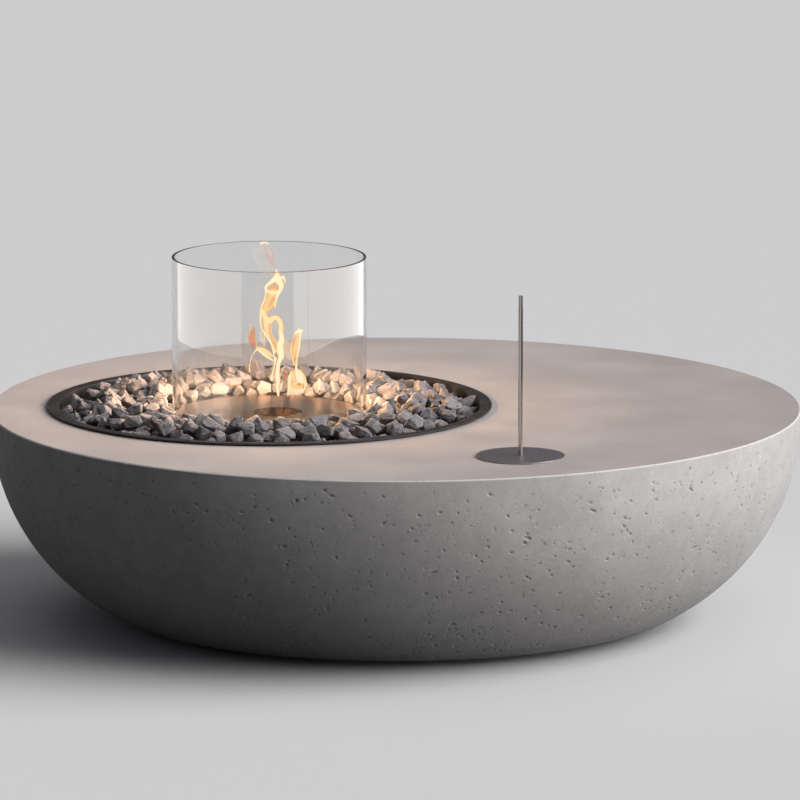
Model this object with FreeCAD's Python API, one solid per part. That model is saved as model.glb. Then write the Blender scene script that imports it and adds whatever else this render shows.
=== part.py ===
import FreeCAD, Part
import math
import os
import random

os.makedirs("parts", exist_ok=True)

# A round concrete fire pit table with a bioethanol burner in an off-centre pan.
# Millimetres, +Z up. The origin is on the floor under the middle of the bowl, -Y is the side
# that the snuffer stands at, and the fire pan sits towards -X.

V = FreeCAD.Vector
UP = V(0, 0, 1)

# Concrete bowl
BOWL_RADIUS = 750.0
BOWL_DEPTH = 375.0
RIM_LAND = 14.0            # upright band under the rim before the side starts to curve in
FOOT_INSET = 230.4         # how far the curved side draws in from the rim to the foot
RIM_CHAMFER = 2.0
FOOT_EDGE_RADIUS = 6.0
SLAB_THICKNESS = 30.0
WALL_THICKNESS = 24.0
FOOT_THICKNESS = 38.0

# Base under the bowl
GLIDE_HEIGHT = 9.0
GLIDE_RADIUS = 30.0
GLIDE_STEM_RADIUS = 5.0
GLIDE_EDGE = 1.5
GLIDE_COUNT = 8
BASE_THICKNESS = 6.0
BASE_SETBACK = 64.6        # the base plate's edge, in from the foot's edge
BASE_BOLT_SETBACK = 29.0   # screws and glides, in from the base plate's edge
BASE_OPENING_RADIUS = 150.0
BASE_SCREW_COUNT = 8
SCREW_M8_RADIUS = 4.0
SCREW_M8_LENGTH = 26.0
INSERT_RADIUS = 8.0
INSERT_LENGTH = 30.0
INSERT_COVER = 26.0        # from an insert's middle to the opening in the foot

# Fire pan and what holds it
PAN_OFFSET_X = -234.0
PAN_INNER_RADIUS = 391.0
PAN_SHEET = 3.0
PAN_DEPTH = 110.0          # pan floor below the table top
PAN_FLANGE = 21.0          # flange width, from the pan's inner wall to its edge
PAN_LIP_RADIUS = 3.0
PAN_DRAIN_COUNT = 8
PAN_DRAIN_RADIUS = 6.0
PAN_DRAIN_SETBACK = 56.0   # from the pan's wall
OPENING_CLEARANCE = 3.0    # between the pan wall and the hole in the slab
GASKET_THICKNESS = 2.0
GASKET_SETBACK = 4.0       # from the flange's edge, which leaves a thin shadow line
GASKET_WIDTH = 8.0
BRACKET_COUNT = 4
BRACKET_WIDTH = 40.0
BRACKET_DROP = 42.0
BRACKET_REACH = 32.0
BRACKET_SHEET = 3.0
BRACKET_BOLT_DROP = 26.0   # bolt below the slab

# Shelf that carries the stones
SHELF_DROP = 32.0          # shelf top below the table top
SHELF_SHEET = 2.0
SHELF_CLEARANCE = 1.5
SHELF_HOLE_RADIUS = 4.0
SHELF_HOLE_COUNT = 24
SHELF_HOLE_SETBACK = 38.0  # from each circle of legs
LEG_RADIUS = 6.0
LEG_SPIGOT_RADIUS = 3.0
LEG_STAND_SETBACK = 31.5   # inner legs, out from the burner stand
LEG_WALL_SETBACK = 33.0    # outer legs, in from the pan's wall
INNER_LEG_COUNT = 6
OUTER_LEG_COUNT = 10

# Burner stand
STAND_SHEET = 2.0
STAND_FLANGE = 20.0
STAND_BOLT_COUNT = 6
STAND_WINDOW_COUNT = 8
STAND_WINDOW_WIDTH = 60.0
STAND_WINDOW_HEIGHT = 14.0
STAND_WINDOW_DROP = 34.0   # window top below the burner plate

# Burner that lifts out
PLATE_DROP = 10.0          # plate top below the table top
PLATE_MARGIN = 4.0         # from the glass to the plate's edge
PLATE_SHEET = 3.0
PLATE_SKIRT = 10.0
PLATE_SKIRT_SHEET = 2.0
SKIRT_CLEARANCE = 1.5
MOUTH_RADIUS = 39.0
MOUTH_OFFSET_X = 16.0      # the mouth lies a little off the plate's centre
MOUTH_LIP = 6.0
MOUTH_LIP_SHEET = 1.0
MOUTH_NECK_SHEET = 1.5
MOUTH_NECK_DEPTH = 15.0
CUP_RADIUS = 98.0
CUP_DEPTH = 66.0
CUP_SHEET = 1.5
JACKET_GAP = 9.0           # air gap between cup and jacket
JACKET_SHEET = 1.5
CUP_GASKET_THICKNESS = 1.5
WOOL_HEIGHT = 46.0
WOOL_CLEARANCE = 0.4
SCREEN_SHEET = 1.0
SCREEN_HOLE_RADIUS = 2.5
SCREEN_HOLE_PITCH = 11.0
STUD_RADIUS = 2.5
STUD_COUNT = 6
STUD_SETBACK = 8.5         # studs, out from the jacket
STUD_EDGE = 9.5            # from the studs to the edge of the cup's flange
STUD_TAIL = 2.0            # thread that stands past the nut

# Glass wind screen
GLASS_RADIUS = 180.0
GLASS_WALL = 5.0
GLASS_HEIGHT = 292.0
GLASS_EDGE = 0.8
GROOVE_DEPTH = 1.5
GROOVE_CLEARANCE = 0.6
GLASS_GASKET_THICKNESS = 1.0

# Snuffer that stands on the table top
SNUFFER_BEARING = -66.23   # degrees from +X
SNUFFER_SETBACK = 191.7    # the disc's middle, in from the rim
SNUFFER_RADIUS = 80.0
SNUFFER_SHEET = 3.0
SNUFFER_EDGE = 0.5
ROD_RADIUS = 4.0
ROD_LENGTH = 291.0
ROD_TIP_LENGTH = 20.0
ROD_TIP_RADIUS = 3.6
ROD_END_CHAMFER = 0.5
ROD_SCREW_RADIUS = 2.0
ROD_SCREW_DEPTH = 12.0

# Loose basalt stones
STONE_SEED = 15
STONE_COUNT = 530
STONE_TRIES = 60000
STONE_SPACING = 25.5
STONE_HALF_SIZES = (22.0, 15.0, 11.0)
STONE_SIZE_SPREAD = 0.22
STONE_FACETS = 12
STONE_FACET_JITTER = 0.22  # how far a facet's direction strays, as a share
STONE_FACET_NEAR = 0.8     # nearest facet, as a share of the pebble's reach
STONE_TILT = 35.0          # steepest lie, in degrees
STONE_GAP = 0.3
STONE_WALL_GAP = 1.2
STONE_MIN_CUT = 0.5
STONE_SEAT = 1.5           # least that two touching stones are cut back where they meet
STONE_BOTTOM = -22.0       # lowest stone centre, from the table top
STONE_CREST = 13.0         # highest stone centre, half way between the plate and the wall
STONE_INNER_FALL = 12.0    # how much lower the heap lies beside the burner plate
STONE_OUTER_FALL = 32.0    # and beside the pan wall
STONE_FALL_POWER = 6       # how late the heap falls off towards its edges
STONE_BAND = 71.0          # width of the inner and the outer band of stones

# Common fits and hardware
FIT = 0.1                  # radial clearance of a screw, stem or spigot in its hole
NUT_M6 = (10.0, 5.0)       # across flats, height
NUT_M5 = (8.0, 4.0)
HEAD_M6 = (5.0, 3.0)       # button head radius, height
SOCKET_M6 = (4.0, 1.5)     # across flats, depth
BOLT_M6_RADIUS = 3.0
NEAR = 0.1                 # an edge within this of a level or radius is taken to lie there
SAME_POINT = 1e-6

# Levels and radii that follow from the sizes above
BASE_BOTTOM = GLIDE_HEIGHT
BOWL_BOTTOM = BASE_BOTTOM + BASE_THICKNESS
TOP = BOWL_BOTTOM + BOWL_DEPTH
SLAB_BOTTOM = TOP - SLAB_THICKNESS
SIDE_FALL = BOWL_DEPTH - RIM_LAND
SIDE_ARC_RADIUS = (SIDE_FALL ** 2 + FOOT_INSET ** 2) / (2 * FOOT_INSET)
FOOT_RADIUS = BOWL_RADIUS - FOOT_INSET
BASE_RADIUS = FOOT_RADIUS - BASE_SETBACK
BASE_BOLT_CIRCLE = BASE_RADIUS - BASE_BOLT_SETBACK
FOOT_OPENING_RADIUS = BASE_BOLT_CIRCLE - INSERT_COVER
PAN_OUTER_RADIUS = PAN_INNER_RADIUS + PAN_SHEET
PAN_FLANGE_RADIUS = PAN_INNER_RADIUS + PAN_FLANGE
PAN_DRAIN_CIRCLE = PAN_INNER_RADIUS - PAN_DRAIN_SETBACK
OPENING_RADIUS = PAN_OUTER_RADIUS + OPENING_CLEARANCE
PAN_FLOOR = TOP - PAN_DEPTH
FLANGE_BOTTOM = TOP + GASKET_THICKNESS
FLANGE_TOP = FLANGE_BOTTOM + PAN_SHEET
SHELF_TOP = TOP - SHELF_DROP
PLATE_RADIUS = GLASS_RADIUS + PLATE_MARGIN
PLATE_TOP = TOP - PLATE_DROP
PLATE_BOTTOM = PLATE_TOP - PLATE_SHEET
STAND_OUTER_RADIUS = PLATE_RADIUS - PLATE_SKIRT_SHEET - SKIRT_CLEARANCE
STAND_BOLT_CIRCLE = STAND_OUTER_RADIUS + STAND_FLANGE / 2
INNER_LEG_CIRCLE = STAND_OUTER_RADIUS + LEG_STAND_SETBACK
OUTER_LEG_CIRCLE = PAN_INNER_RADIUS - LEG_WALL_SETBACK
GLASS_BOTTOM = PLATE_TOP - GROOVE_DEPTH + GLASS_GASKET_THICKNESS
CUP_TOP = PLATE_BOTTOM - CUP_GASKET_THICKNESS
CUP_FLOOR = CUP_TOP - CUP_DEPTH
JACKET_TOP = CUP_TOP - CUP_SHEET
JACKET_RADIUS = CUP_RADIUS + CUP_SHEET + JACKET_GAP
JACKET_FLOOR = CUP_FLOOR - CUP_SHEET - JACKET_GAP
STUD_CIRCLE = JACKET_RADIUS + JACKET_SHEET + STUD_SETBACK
CUP_FLANGE_RADIUS = STUD_CIRCLE + STUD_EDGE
WOOL_RADIUS = CUP_RADIUS - WOOL_CLEARANCE
WOOL_TOP = CUP_FLOOR + WOOL_HEIGHT
SNUFFER_TOP = TOP + SNUFFER_SHEET

PAN_CENTRE = V(PAN_OFFSET_X, 0, 0)
MOUTH_CENTRE = PAN_CENTRE + V(MOUTH_OFFSET_X, 0, 0)
SNUFFER_TURN = math.radians(SNUFFER_BEARING)
SNUFFER_CENTRE = V(math.cos(SNUFFER_TURN), math.sin(SNUFFER_TURN), 0) * (BOWL_RADIUS - SNUFFER_SETBACK)


def cylinder(radius, bottom, top, centre=V(0, 0, 0)):
    return Part.makeCylinder(radius, top - bottom, centre + UP * bottom, UP)


def ring(inner, outer, bottom, top, centre=V(0, 0, 0)):
    return cylinder(outer, bottom, top, centre).cut(cylinder(inner, bottom, top, centre))


def cone(radius_low, radius_high, bottom, top, centre):
    return Part.makeCone(radius_low, radius_high, top - bottom, centre + UP * bottom, UP)


def around(count, radius, centre=V(0, 0, 0), start=0.0):
    """Points evenly spaced on a circle, the first at start degrees from +X."""
    turns = [math.radians(start + 360.0 * k / count) for k in range(count)]
    return [centre + V(radius * math.cos(t), radius * math.sin(t), 0) for t in turns]


def bearing(point, centre=V(0, 0, 0)):
    """The direction of a point from a centre, in degrees from +X."""
    return math.degrees(math.atan2(point.y - centre.y, point.x - centre.x))


def hexagon(across_flats, bottom, top, centre):
    corner = across_flats / 2 / math.cos(math.pi / 6)
    points = around(6, corner, centre + UP * bottom)
    return Part.Face(Part.makePolygon(points + points[:1])).extrude(UP * (top - bottom))


def cut_all(shape, tools):
    return shape.cut(Part.makeCompound(tools))


def lying(shape, point, turn):
    """Lays a shape made upright at the origin along +X, turned about Z, at a point."""
    placed = shape.copy()
    placed.rotate(V(0, 0, 0), V(0, 1, 0), 90)
    placed.rotate(V(0, 0, 0), UP, turn)
    placed.translate(point)
    return placed


def save(name, solids):
    """Writes one node: a single solid, or a group of separate ones."""
    shape = solids[0] if len(solids) == 1 else Part.makeCompound(solids)
    shape.exportStep("parts/" + name + ".step")
    volume = sum(s.Volume for s in solids) / 1000.0
    good = all(s.isValid() for s in solids)
    print(f"{name:16s} solids {len(solids):4d} volume {volume:10.1f} cm3 valid {good}")


# Bowl and base

def side_radius(depth, offset=0.0):
    """Radius of the curved side at a depth under the table top, drawn in by an offset."""
    radius = SIDE_ARC_RADIUS - offset
    fall = max(depth - RIM_LAND, 0.0)
    return BOWL_RADIUS - SIDE_ARC_RADIUS + math.sqrt(radius ** 2 - fall ** 2)


def side_arc(depth_a, depth_b, offset=0.0):
    depths = (depth_a, (depth_a + depth_b) / 2, depth_b)
    return Part.Arc(*[V(side_radius(d, offset), 0, TOP - d) for d in depths]).toShape()


def line(*points):
    return [Part.LineSegment(V(*a), V(*b)).toShape() for a, b in zip(points, points[1:])]


def revolved(edges):
    face = Part.Face(Part.Wire(Part.__sortEdges__(edges)))
    return face.revolve(V(0, 0, 0), UP, 360)


def concrete_bowl():
    """One casting: top slab, curved wall and a flat foot ring, hollow inside."""
    outside = line((0, 0, BOWL_BOTTOM), (FOOT_RADIUS, 0, BOWL_BOTTOM))
    outside.append(side_arc(BOWL_DEPTH, RIM_LAND))
    outside += line((BOWL_RADIUS, 0, TOP - RIM_LAND), (BOWL_RADIUS, 0, TOP - RIM_CHAMFER),
                    (BOWL_RADIUS - RIM_CHAMFER, 0, TOP), (0, 0, TOP), (0, 0, BOWL_BOTTOM))
    body = revolved(outside)
    foot_edge = [e for e in body.Edges
                 if e.BoundBox.ZMax < BOWL_BOTTOM + NEAR and e.BoundBox.XMax > FOOT_RADIUS - NEAR
                 and len(e.Vertexes) == 1]
    body = body.makeFillet(FOOT_EDGE_RADIUS, foot_edge)
    low = BOWL_DEPTH - FOOT_THICKNESS
    inside = line((0, 0, TOP - low), (side_radius(low, WALL_THICKNESS), 0, TOP - low))
    inside.append(side_arc(low, SLAB_THICKNESS, WALL_THICKNESS))
    inside += line((side_radius(SLAB_THICKNESS, WALL_THICKNESS), 0, SLAB_BOTTOM),
                   (0, 0, SLAB_BOTTOM), (0, 0, TOP - low))
    pockets = [cylinder(INSERT_RADIUS + FIT, BOWL_BOTTOM, BOWL_BOTTOM + INSERT_LENGTH + FIT, p)
               for p in base_screw_points()]
    return cut_all(body, [revolved(inside),
                          cylinder(FOOT_OPENING_RADIUS, BOWL_BOTTOM, TOP - low),
                          cylinder(OPENING_RADIUS, SLAB_BOTTOM, TOP, PAN_CENTRE)] + pockets)


def base_screw_points():
    return around(BASE_SCREW_COUNT, BASE_BOLT_CIRCLE)


def glide_points():
    return around(GLIDE_COUNT, BASE_BOLT_CIRCLE, start=180.0 / GLIDE_COUNT)


def base_inserts():
    made = []
    for p in base_screw_points():
        socket = cylinder(INSERT_RADIUS, BOWL_BOTTOM, BOWL_BOTTOM + INSERT_LENGTH, p)
        bore_top = BOWL_BOTTOM + SCREW_M8_LENGTH
        made.append(socket.cut(cylinder(SCREW_M8_RADIUS + FIT, BOWL_BOTTOM, bore_top, p)))
    return made


def base_plate():
    plate = ring(BASE_OPENING_RADIUS, BASE_RADIUS, BASE_BOTTOM, BOWL_BOTTOM)
    holes = [cylinder(SCREW_M8_RADIUS + FIT, BASE_BOTTOM, BOWL_BOTTOM, p)
             for p in base_screw_points()]
    sinks = [cone(2 * SCREW_M8_RADIUS + FIT, SCREW_M8_RADIUS + FIT, BASE_BOTTOM,
                  BASE_BOTTOM + SCREW_M8_RADIUS, p) for p in base_screw_points()]
    stems = [cylinder(GLIDE_STEM_RADIUS + FIT, BASE_BOTTOM, BOWL_BOTTOM, p)
             for p in glide_points()]
    return cut_all(plate, holes + sinks + stems)


def base_screws():
    """Countersunk screws up into the inserts."""
    made = []
    for p in base_screw_points():
        head = cone(2 * SCREW_M8_RADIUS, SCREW_M8_RADIUS, BASE_BOTTOM,
                    BASE_BOTTOM + SCREW_M8_RADIUS, p)
        shank = cylinder(SCREW_M8_RADIUS, BASE_BOTTOM, BASE_BOTTOM + SCREW_M8_LENGTH, p)
        socket = hexagon(SCREW_M8_RADIUS, BASE_BOTTOM, BASE_BOTTOM + SCREW_M8_RADIUS / 2, p)
        made.append(head.fuse(shank).removeSplitter().cut(socket))
    return made


def floor_glides():
    made = []
    for p in glide_points():
        pad = cylinder(GLIDE_RADIUS, 0, GLIDE_HEIGHT, p)
        pad = pad.makeChamfer(GLIDE_EDGE, [e for e in pad.Edges if e.BoundBox.ZMax < NEAR])
        stem = cylinder(GLIDE_STEM_RADIUS, GLIDE_HEIGHT, BOWL_BOTTOM, p)
        made.append(pad.fuse(stem).removeSplitter())
    return made


# Fire pan

def fire_pan():
    """A welded sheet pan that hangs by its flange in the hole in the slab."""
    outside = cylinder(PAN_OUTER_RADIUS, PAN_FLOOR - PAN_SHEET, FLANGE_TOP, PAN_CENTRE)
    flange = cylinder(PAN_FLANGE_RADIUS, FLANGE_BOTTOM, FLANGE_TOP, PAN_CENTRE)
    inside = cylinder(PAN_INNER_RADIUS, PAN_FLOOR, FLANGE_TOP, PAN_CENTRE)
    pan = outside.fuse(flange).removeSplitter().cut(inside)
    lip = [e for e in pan.Edges if e.BoundBox.ZMin > FLANGE_TOP - NEAR
           and e.BoundBox.XMax < PAN_CENTRE.x + PAN_INNER_RADIUS + NEAR and len(e.Vertexes) == 1]
    pan = pan.makeFillet(PAN_LIP_RADIUS, lip)
    tools = [cylinder(PAN_DRAIN_RADIUS, PAN_FLOOR - PAN_SHEET, PAN_FLOOR, p)
             for p in around(PAN_DRAIN_COUNT, PAN_DRAIN_CIRCLE, PAN_CENTRE)]
    tools += [cylinder(BOLT_M6_RADIUS + FIT, PAN_FLOOR - PAN_SHEET, PAN_FLOOR, p)
              for p in stand_bolt_points()]
    hole = cylinder(BOLT_M6_RADIUS + FIT, -PAN_SHEET, 2 * PAN_SHEET)
    tools += [lying(hole, p, t) for p, t in bracket_bolt_places(PAN_INNER_RADIUS)]
    return cut_all(pan, tools)


def pan_gasket():
    outer = PAN_FLANGE_RADIUS - GASKET_SETBACK
    return ring(outer - GASKET_WIDTH, outer, TOP, FLANGE_BOTTOM, PAN_CENTRE)


def bracket_bolt_places(radius):
    """Where each bracket's bolt crosses a radius of the pan, with its bearing."""
    start = 180.0 / BRACKET_COUNT
    level = UP * (SLAB_BOTTOM - BRACKET_BOLT_DROP)
    points = around(BRACKET_COUNT, radius, PAN_CENTRE, start)
    return [(p + level, bearing(p, PAN_CENTRE)) for p in points]


def pan_brackets():
    """Angle brackets bolted to the pan wall, bearing up against the slab from below."""
    made = []
    for point, turn in bracket_bolt_places(PAN_OUTER_RADIUS):
        half = BRACKET_WIDTH / 2
        upright = Part.makeBox(BRACKET_SHEET + BRACKET_REACH, BRACKET_WIDTH, BRACKET_DROP,
                               V(PAN_OUTER_RADIUS - BRACKET_SHEET, -half, SLAB_BOTTOM - BRACKET_DROP))
        hollow = Part.makeBox(BRACKET_REACH, BRACKET_WIDTH, BRACKET_DROP - BRACKET_SHEET,
                              V(PAN_OUTER_RADIUS + BRACKET_SHEET, -half, SLAB_BOTTOM - BRACKET_DROP))
        angle = upright.cut(hollow)
        angle.rotate(V(0, 0, 0), UP, turn)
        angle.translate(PAN_CENTRE)
        wall = cylinder(PAN_OUTER_RADIUS, SLAB_BOTTOM - BRACKET_DROP, SLAB_BOTTOM, PAN_CENTRE)
        hole = lying(cylinder(BOLT_M6_RADIUS + FIT, -BRACKET_SHEET, 2 * BRACKET_SHEET), point, turn)
        made.append(angle.cut(wall).cut(hole))
    return made


def bracket_bolts():
    """The flat underside of each head touches the hollow wall at its two sides."""
    length = PAN_SHEET + BRACKET_SHEET + NUT_M6[1] + STUD_TAIL
    seat = math.sqrt(PAN_INNER_RADIUS ** 2 - HEAD_M6[0] ** 2)
    made = []
    for point, turn in bracket_bolt_places(seat):
        shank = cylinder(BOLT_M6_RADIUS, 0, length)
        made.append(lying(shank.fuse(button_head(0)), point, turn))
    return made


def button_head(level):
    """A low round head that hangs below a level, with a six-sided socket."""
    radius, height = HEAD_M6
    flats, depth = SOCKET_M6
    head = cylinder(radius, level - height, level)
    head = head.makeFillet(height / 2, [e for e in head.Edges
                                        if e.BoundBox.ZMax < level - height + NEAR])
    return head.cut(hexagon(flats, level - height, level - height + depth, V(0, 0, 0)))


def bracket_nuts():
    made = []
    for point, turn in bracket_bolt_places(PAN_OUTER_RADIUS + BRACKET_SHEET):
        nut = hexagon(NUT_M6[0], 0, NUT_M6[1], V(0, 0, 0))
        made.append(lying(nut.cut(cylinder(BOLT_M6_RADIUS, 0, NUT_M6[1])), point, turn))
    return made


# Stone shelf

def leg_points():
    inner = around(INNER_LEG_COUNT, INNER_LEG_CIRCLE, PAN_CENTRE, 180.0 / INNER_LEG_COUNT)
    outer = around(OUTER_LEG_COUNT, OUTER_LEG_CIRCLE, PAN_CENTRE, 180.0 / OUTER_LEG_COUNT)
    return inner + outer


def shelf_legs():
    """Shouldered posts on the pan floor, with a spigot up into the shelf."""
    made = []
    for p in leg_points():
        post = cylinder(LEG_RADIUS, PAN_FLOOR, SHELF_TOP - SHELF_SHEET, p)
        spigot = cylinder(LEG_SPIGOT_RADIUS, SHELF_TOP - SHELF_SHEET, SHELF_TOP, p)
        made.append(post.fuse(spigot).removeSplitter())
    return made


def stone_shelf():
    shelf = ring(STAND_OUTER_RADIUS + SHELF_CLEARANCE, PAN_INNER_RADIUS - SHELF_CLEARANCE,
                 SHELF_TOP - SHELF_SHEET, SHELF_TOP, PAN_CENTRE)
    tools = [cylinder(LEG_SPIGOT_RADIUS + FIT, SHELF_TOP - SHELF_SHEET, SHELF_TOP, p)
             for p in leg_points()]
    for circle in (INNER_LEG_CIRCLE + SHELF_HOLE_SETBACK, OUTER_LEG_CIRCLE - SHELF_HOLE_SETBACK):
        tools += [cylinder(SHELF_HOLE_RADIUS, SHELF_TOP - SHELF_SHEET, SHELF_TOP, p)
                  for p in around(SHELF_HOLE_COUNT, circle, PAN_CENTRE)]
    return cut_all(shelf, tools)


# Burner stand

def stand_bolt_points():
    return around(STAND_BOLT_COUNT, STAND_BOLT_CIRCLE, PAN_CENTRE)


def burner_stand():
    """A rolled collar with a foot flange and air windows. The burner plate rests on it."""
    outer = STAND_OUTER_RADIUS
    collar = cylinder(outer, PAN_FLOOR, PLATE_BOTTOM, PAN_CENTRE)
    foot = cylinder(outer + STAND_FLANGE, PAN_FLOOR, PAN_FLOOR + STAND_SHEET, PAN_CENTRE)
    inside = cylinder(outer - STAND_SHEET, PAN_FLOOR, PLATE_BOTTOM, PAN_CENTRE)
    stand = collar.fuse(foot).removeSplitter().cut(inside)
    tools = []
    for k in range(STAND_WINDOW_COUNT):
        window = Part.makeBox(4 * STAND_SHEET, STAND_WINDOW_WIDTH, STAND_WINDOW_HEIGHT,
                              V(outer - 3 * STAND_SHEET, -STAND_WINDOW_WIDTH / 2,
                                PLATE_BOTTOM - STAND_WINDOW_DROP - STAND_WINDOW_HEIGHT))
        window.rotate(V(0, 0, 0), UP, 360.0 * k / STAND_WINDOW_COUNT)
        window.translate(PAN_CENTRE)
        tools.append(window)
    tools += [cylinder(BOLT_M6_RADIUS + FIT, PAN_FLOOR, PAN_FLOOR + STAND_SHEET, p)
              for p in stand_bolt_points()]
    return cut_all(stand, tools)


def stand_bolts():
    """Hung upside down: the head is above the foot flange and the thread points down."""
    made = []
    length = STAND_SHEET + PAN_SHEET + NUT_M6[1] + STUD_TAIL
    for p in stand_bolt_points():
        bolt = cylinder(BOLT_M6_RADIUS, 0, length).fuse(button_head(0))
        bolt.rotate(V(0, 0, 0), V(1, 0, 0), 180)
        bolt.translate(p + UP * (PAN_FLOOR + STAND_SHEET))
        made.append(bolt)
    return made


def stand_nuts():
    top = PAN_FLOOR - PAN_SHEET
    return [hexagon(NUT_M6[0], top - NUT_M6[1], top, p).cut(
        cylinder(BOLT_M6_RADIUS, top - NUT_M6[1], top, p)) for p in stand_bolt_points()]


# Burner

def stud_points():
    return around(STUD_COUNT, STUD_CIRCLE, MOUTH_CENTRE)


def burner_plate():
    """The round top with a turned-down skirt, a groove for the glass and the mouth's hole."""
    skirt_bottom = PLATE_TOP - PLATE_SKIRT
    disc = cylinder(PLATE_RADIUS, skirt_bottom, PLATE_TOP, PAN_CENTRE)
    under = cylinder(PLATE_RADIUS - PLATE_SKIRT_SHEET, skirt_bottom, PLATE_BOTTOM, PAN_CENTRE)
    groove = ring(GLASS_RADIUS - GLASS_WALL - GROOVE_CLEARANCE, GLASS_RADIUS + GROOVE_CLEARANCE,
                  PLATE_TOP - GROOVE_DEPTH, PLATE_TOP, PAN_CENTRE)
    hole = cylinder(MOUTH_RADIUS + MOUTH_NECK_SHEET + FIT, PLATE_BOTTOM, PLATE_TOP, MOUTH_CENTRE)
    return cut_all(disc, [under, groove, hole])


def mouth_ring():
    """A flanged neck that hangs in the plate's hole and leads down to the fuel."""
    neck = cylinder(MOUTH_RADIUS + MOUTH_NECK_SHEET, PLATE_TOP - MOUTH_NECK_DEPTH, PLATE_TOP,
                    MOUTH_CENTRE)
    lip_top = PLATE_TOP + MOUTH_LIP_SHEET
    lip = cylinder(MOUTH_RADIUS + MOUTH_LIP, PLATE_TOP, lip_top, MOUTH_CENTRE)
    way = cylinder(MOUTH_RADIUS, PLATE_TOP - MOUTH_NECK_DEPTH, lip_top, MOUTH_CENTRE)
    return neck.fuse(lip).removeSplitter().cut(way)


def plate_studs():
    bottom = JACKET_TOP - JACKET_SHEET - NUT_M5[1] - STUD_TAIL
    return [cylinder(STUD_RADIUS, bottom, PLATE_BOTTOM, p) for p in stud_points()]


def stud_holes(bottom, top):
    return [cylinder(STUD_RADIUS + FIT, bottom, top, p) for p in stud_points()]


def cup_gasket():
    seal = ring(CUP_RADIUS, CUP_FLANGE_RADIUS, CUP_TOP, PLATE_BOTTOM, MOUTH_CENTRE)
    return cut_all(seal, stud_holes(CUP_TOP, PLATE_BOTTOM))


def flanged_can(radius, sheet, floor, top):
    """A round can, open at the top, with a flange out to the stud circle."""
    can = cylinder(radius + sheet, floor - sheet, top, MOUTH_CENTRE)
    flange = cylinder(CUP_FLANGE_RADIUS, top - sheet, top, MOUTH_CENTRE)
    can = can.fuse(flange).removeSplitter().cut(cylinder(radius, floor, top, MOUTH_CENTRE))
    return cut_all(can, stud_holes(top - sheet, top))


def fuel_cup():
    return flanged_can(CUP_RADIUS, CUP_SHEET, CUP_FLOOR, CUP_TOP)


def burner_jacket():
    return flanged_can(JACKET_RADIUS, JACKET_SHEET, JACKET_FLOOR, JACKET_TOP)


def jacket_nuts():
    top = JACKET_TOP - JACKET_SHEET
    return [hexagon(NUT_M5[0], top - NUT_M5[1], top, p).cut(
        cylinder(STUD_RADIUS, top - NUT_M5[1], top, p)) for p in stud_points()]


def ceramic_wool():
    return cylinder(WOOL_RADIUS, CUP_FLOOR, WOOL_TOP, MOUTH_CENTRE)


def wool_screen():
    """A perforated disc that keeps the wool down, with its holes in rows under the mouth."""
    disc = cylinder(WOOL_RADIUS, WOOL_TOP, WOOL_TOP + SCREEN_SHEET, MOUTH_CENTRE)
    holes = []
    rise = SCREEN_HOLE_PITCH * math.sqrt(3) / 2
    rows = int((MOUTH_RADIUS + SCREEN_HOLE_PITCH) / rise)
    for j in range(-rows, rows + 1):
        for i in range(-rows - 1, rows + 2):
            spot = V((i + 0.5 * (j % 2)) * SCREEN_HOLE_PITCH, j * rise, 0)
            if spot.Length < MOUTH_RADIUS + SCREEN_HOLE_PITCH / 2:
                holes.append(cylinder(SCREEN_HOLE_RADIUS, WOOL_TOP, WOOL_TOP + SCREEN_SHEET,
                                      MOUTH_CENTRE + spot))
    return cut_all(disc, holes)


# Glass wind screen

def glass_gasket():
    return ring(GLASS_RADIUS - GLASS_WALL, GLASS_RADIUS, PLATE_TOP - GROOVE_DEPTH, GLASS_BOTTOM,
                PAN_CENTRE)


def glass_screen():
    tube = ring(GLASS_RADIUS - GLASS_WALL, GLASS_RADIUS, GLASS_BOTTOM,
                GLASS_BOTTOM + GLASS_HEIGHT, PAN_CENTRE)
    rims = [e for e in tube.Edges if e.BoundBox.ZLength < NEAR]
    return tube.makeFillet(GLASS_EDGE, rims)


# Snuffer

def snuffer_disc():
    disc = cylinder(SNUFFER_RADIUS, TOP, SNUFFER_TOP, SNUFFER_CENTRE)
    disc = disc.makeChamfer(SNUFFER_EDGE, [e for e in disc.Edges if e.BoundBox.ZLength < NEAR])
    sink = cone(2 * ROD_SCREW_RADIUS + FIT, ROD_SCREW_RADIUS + FIT, TOP,
                TOP + ROD_SCREW_RADIUS, SNUFFER_CENTRE)
    hole = cylinder(ROD_SCREW_RADIUS + FIT, TOP, SNUFFER_TOP, SNUFFER_CENTRE)
    return cut_all(disc, [sink, hole])


def snuffer_rod():
    """A straight round rod with a turned finger tip, tapped from below."""
    rod_top = SNUFFER_TOP + ROD_LENGTH
    rod = cylinder(ROD_RADIUS, SNUFFER_TOP, rod_top - ROD_TIP_LENGTH, SNUFFER_CENTRE)
    tip = cylinder(ROD_TIP_RADIUS, rod_top - ROD_TIP_LENGTH, rod_top, SNUFFER_CENTRE)
    tip = tip.makeChamfer(ROD_END_CHAMFER, [e for e in tip.Edges
                                            if e.BoundBox.ZMin > rod_top - NEAR])
    hole = cylinder(ROD_SCREW_RADIUS, SNUFFER_TOP, SNUFFER_TOP + ROD_SCREW_DEPTH, SNUFFER_CENTRE)
    return rod.fuse(tip).removeSplitter().cut(hole)


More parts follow.
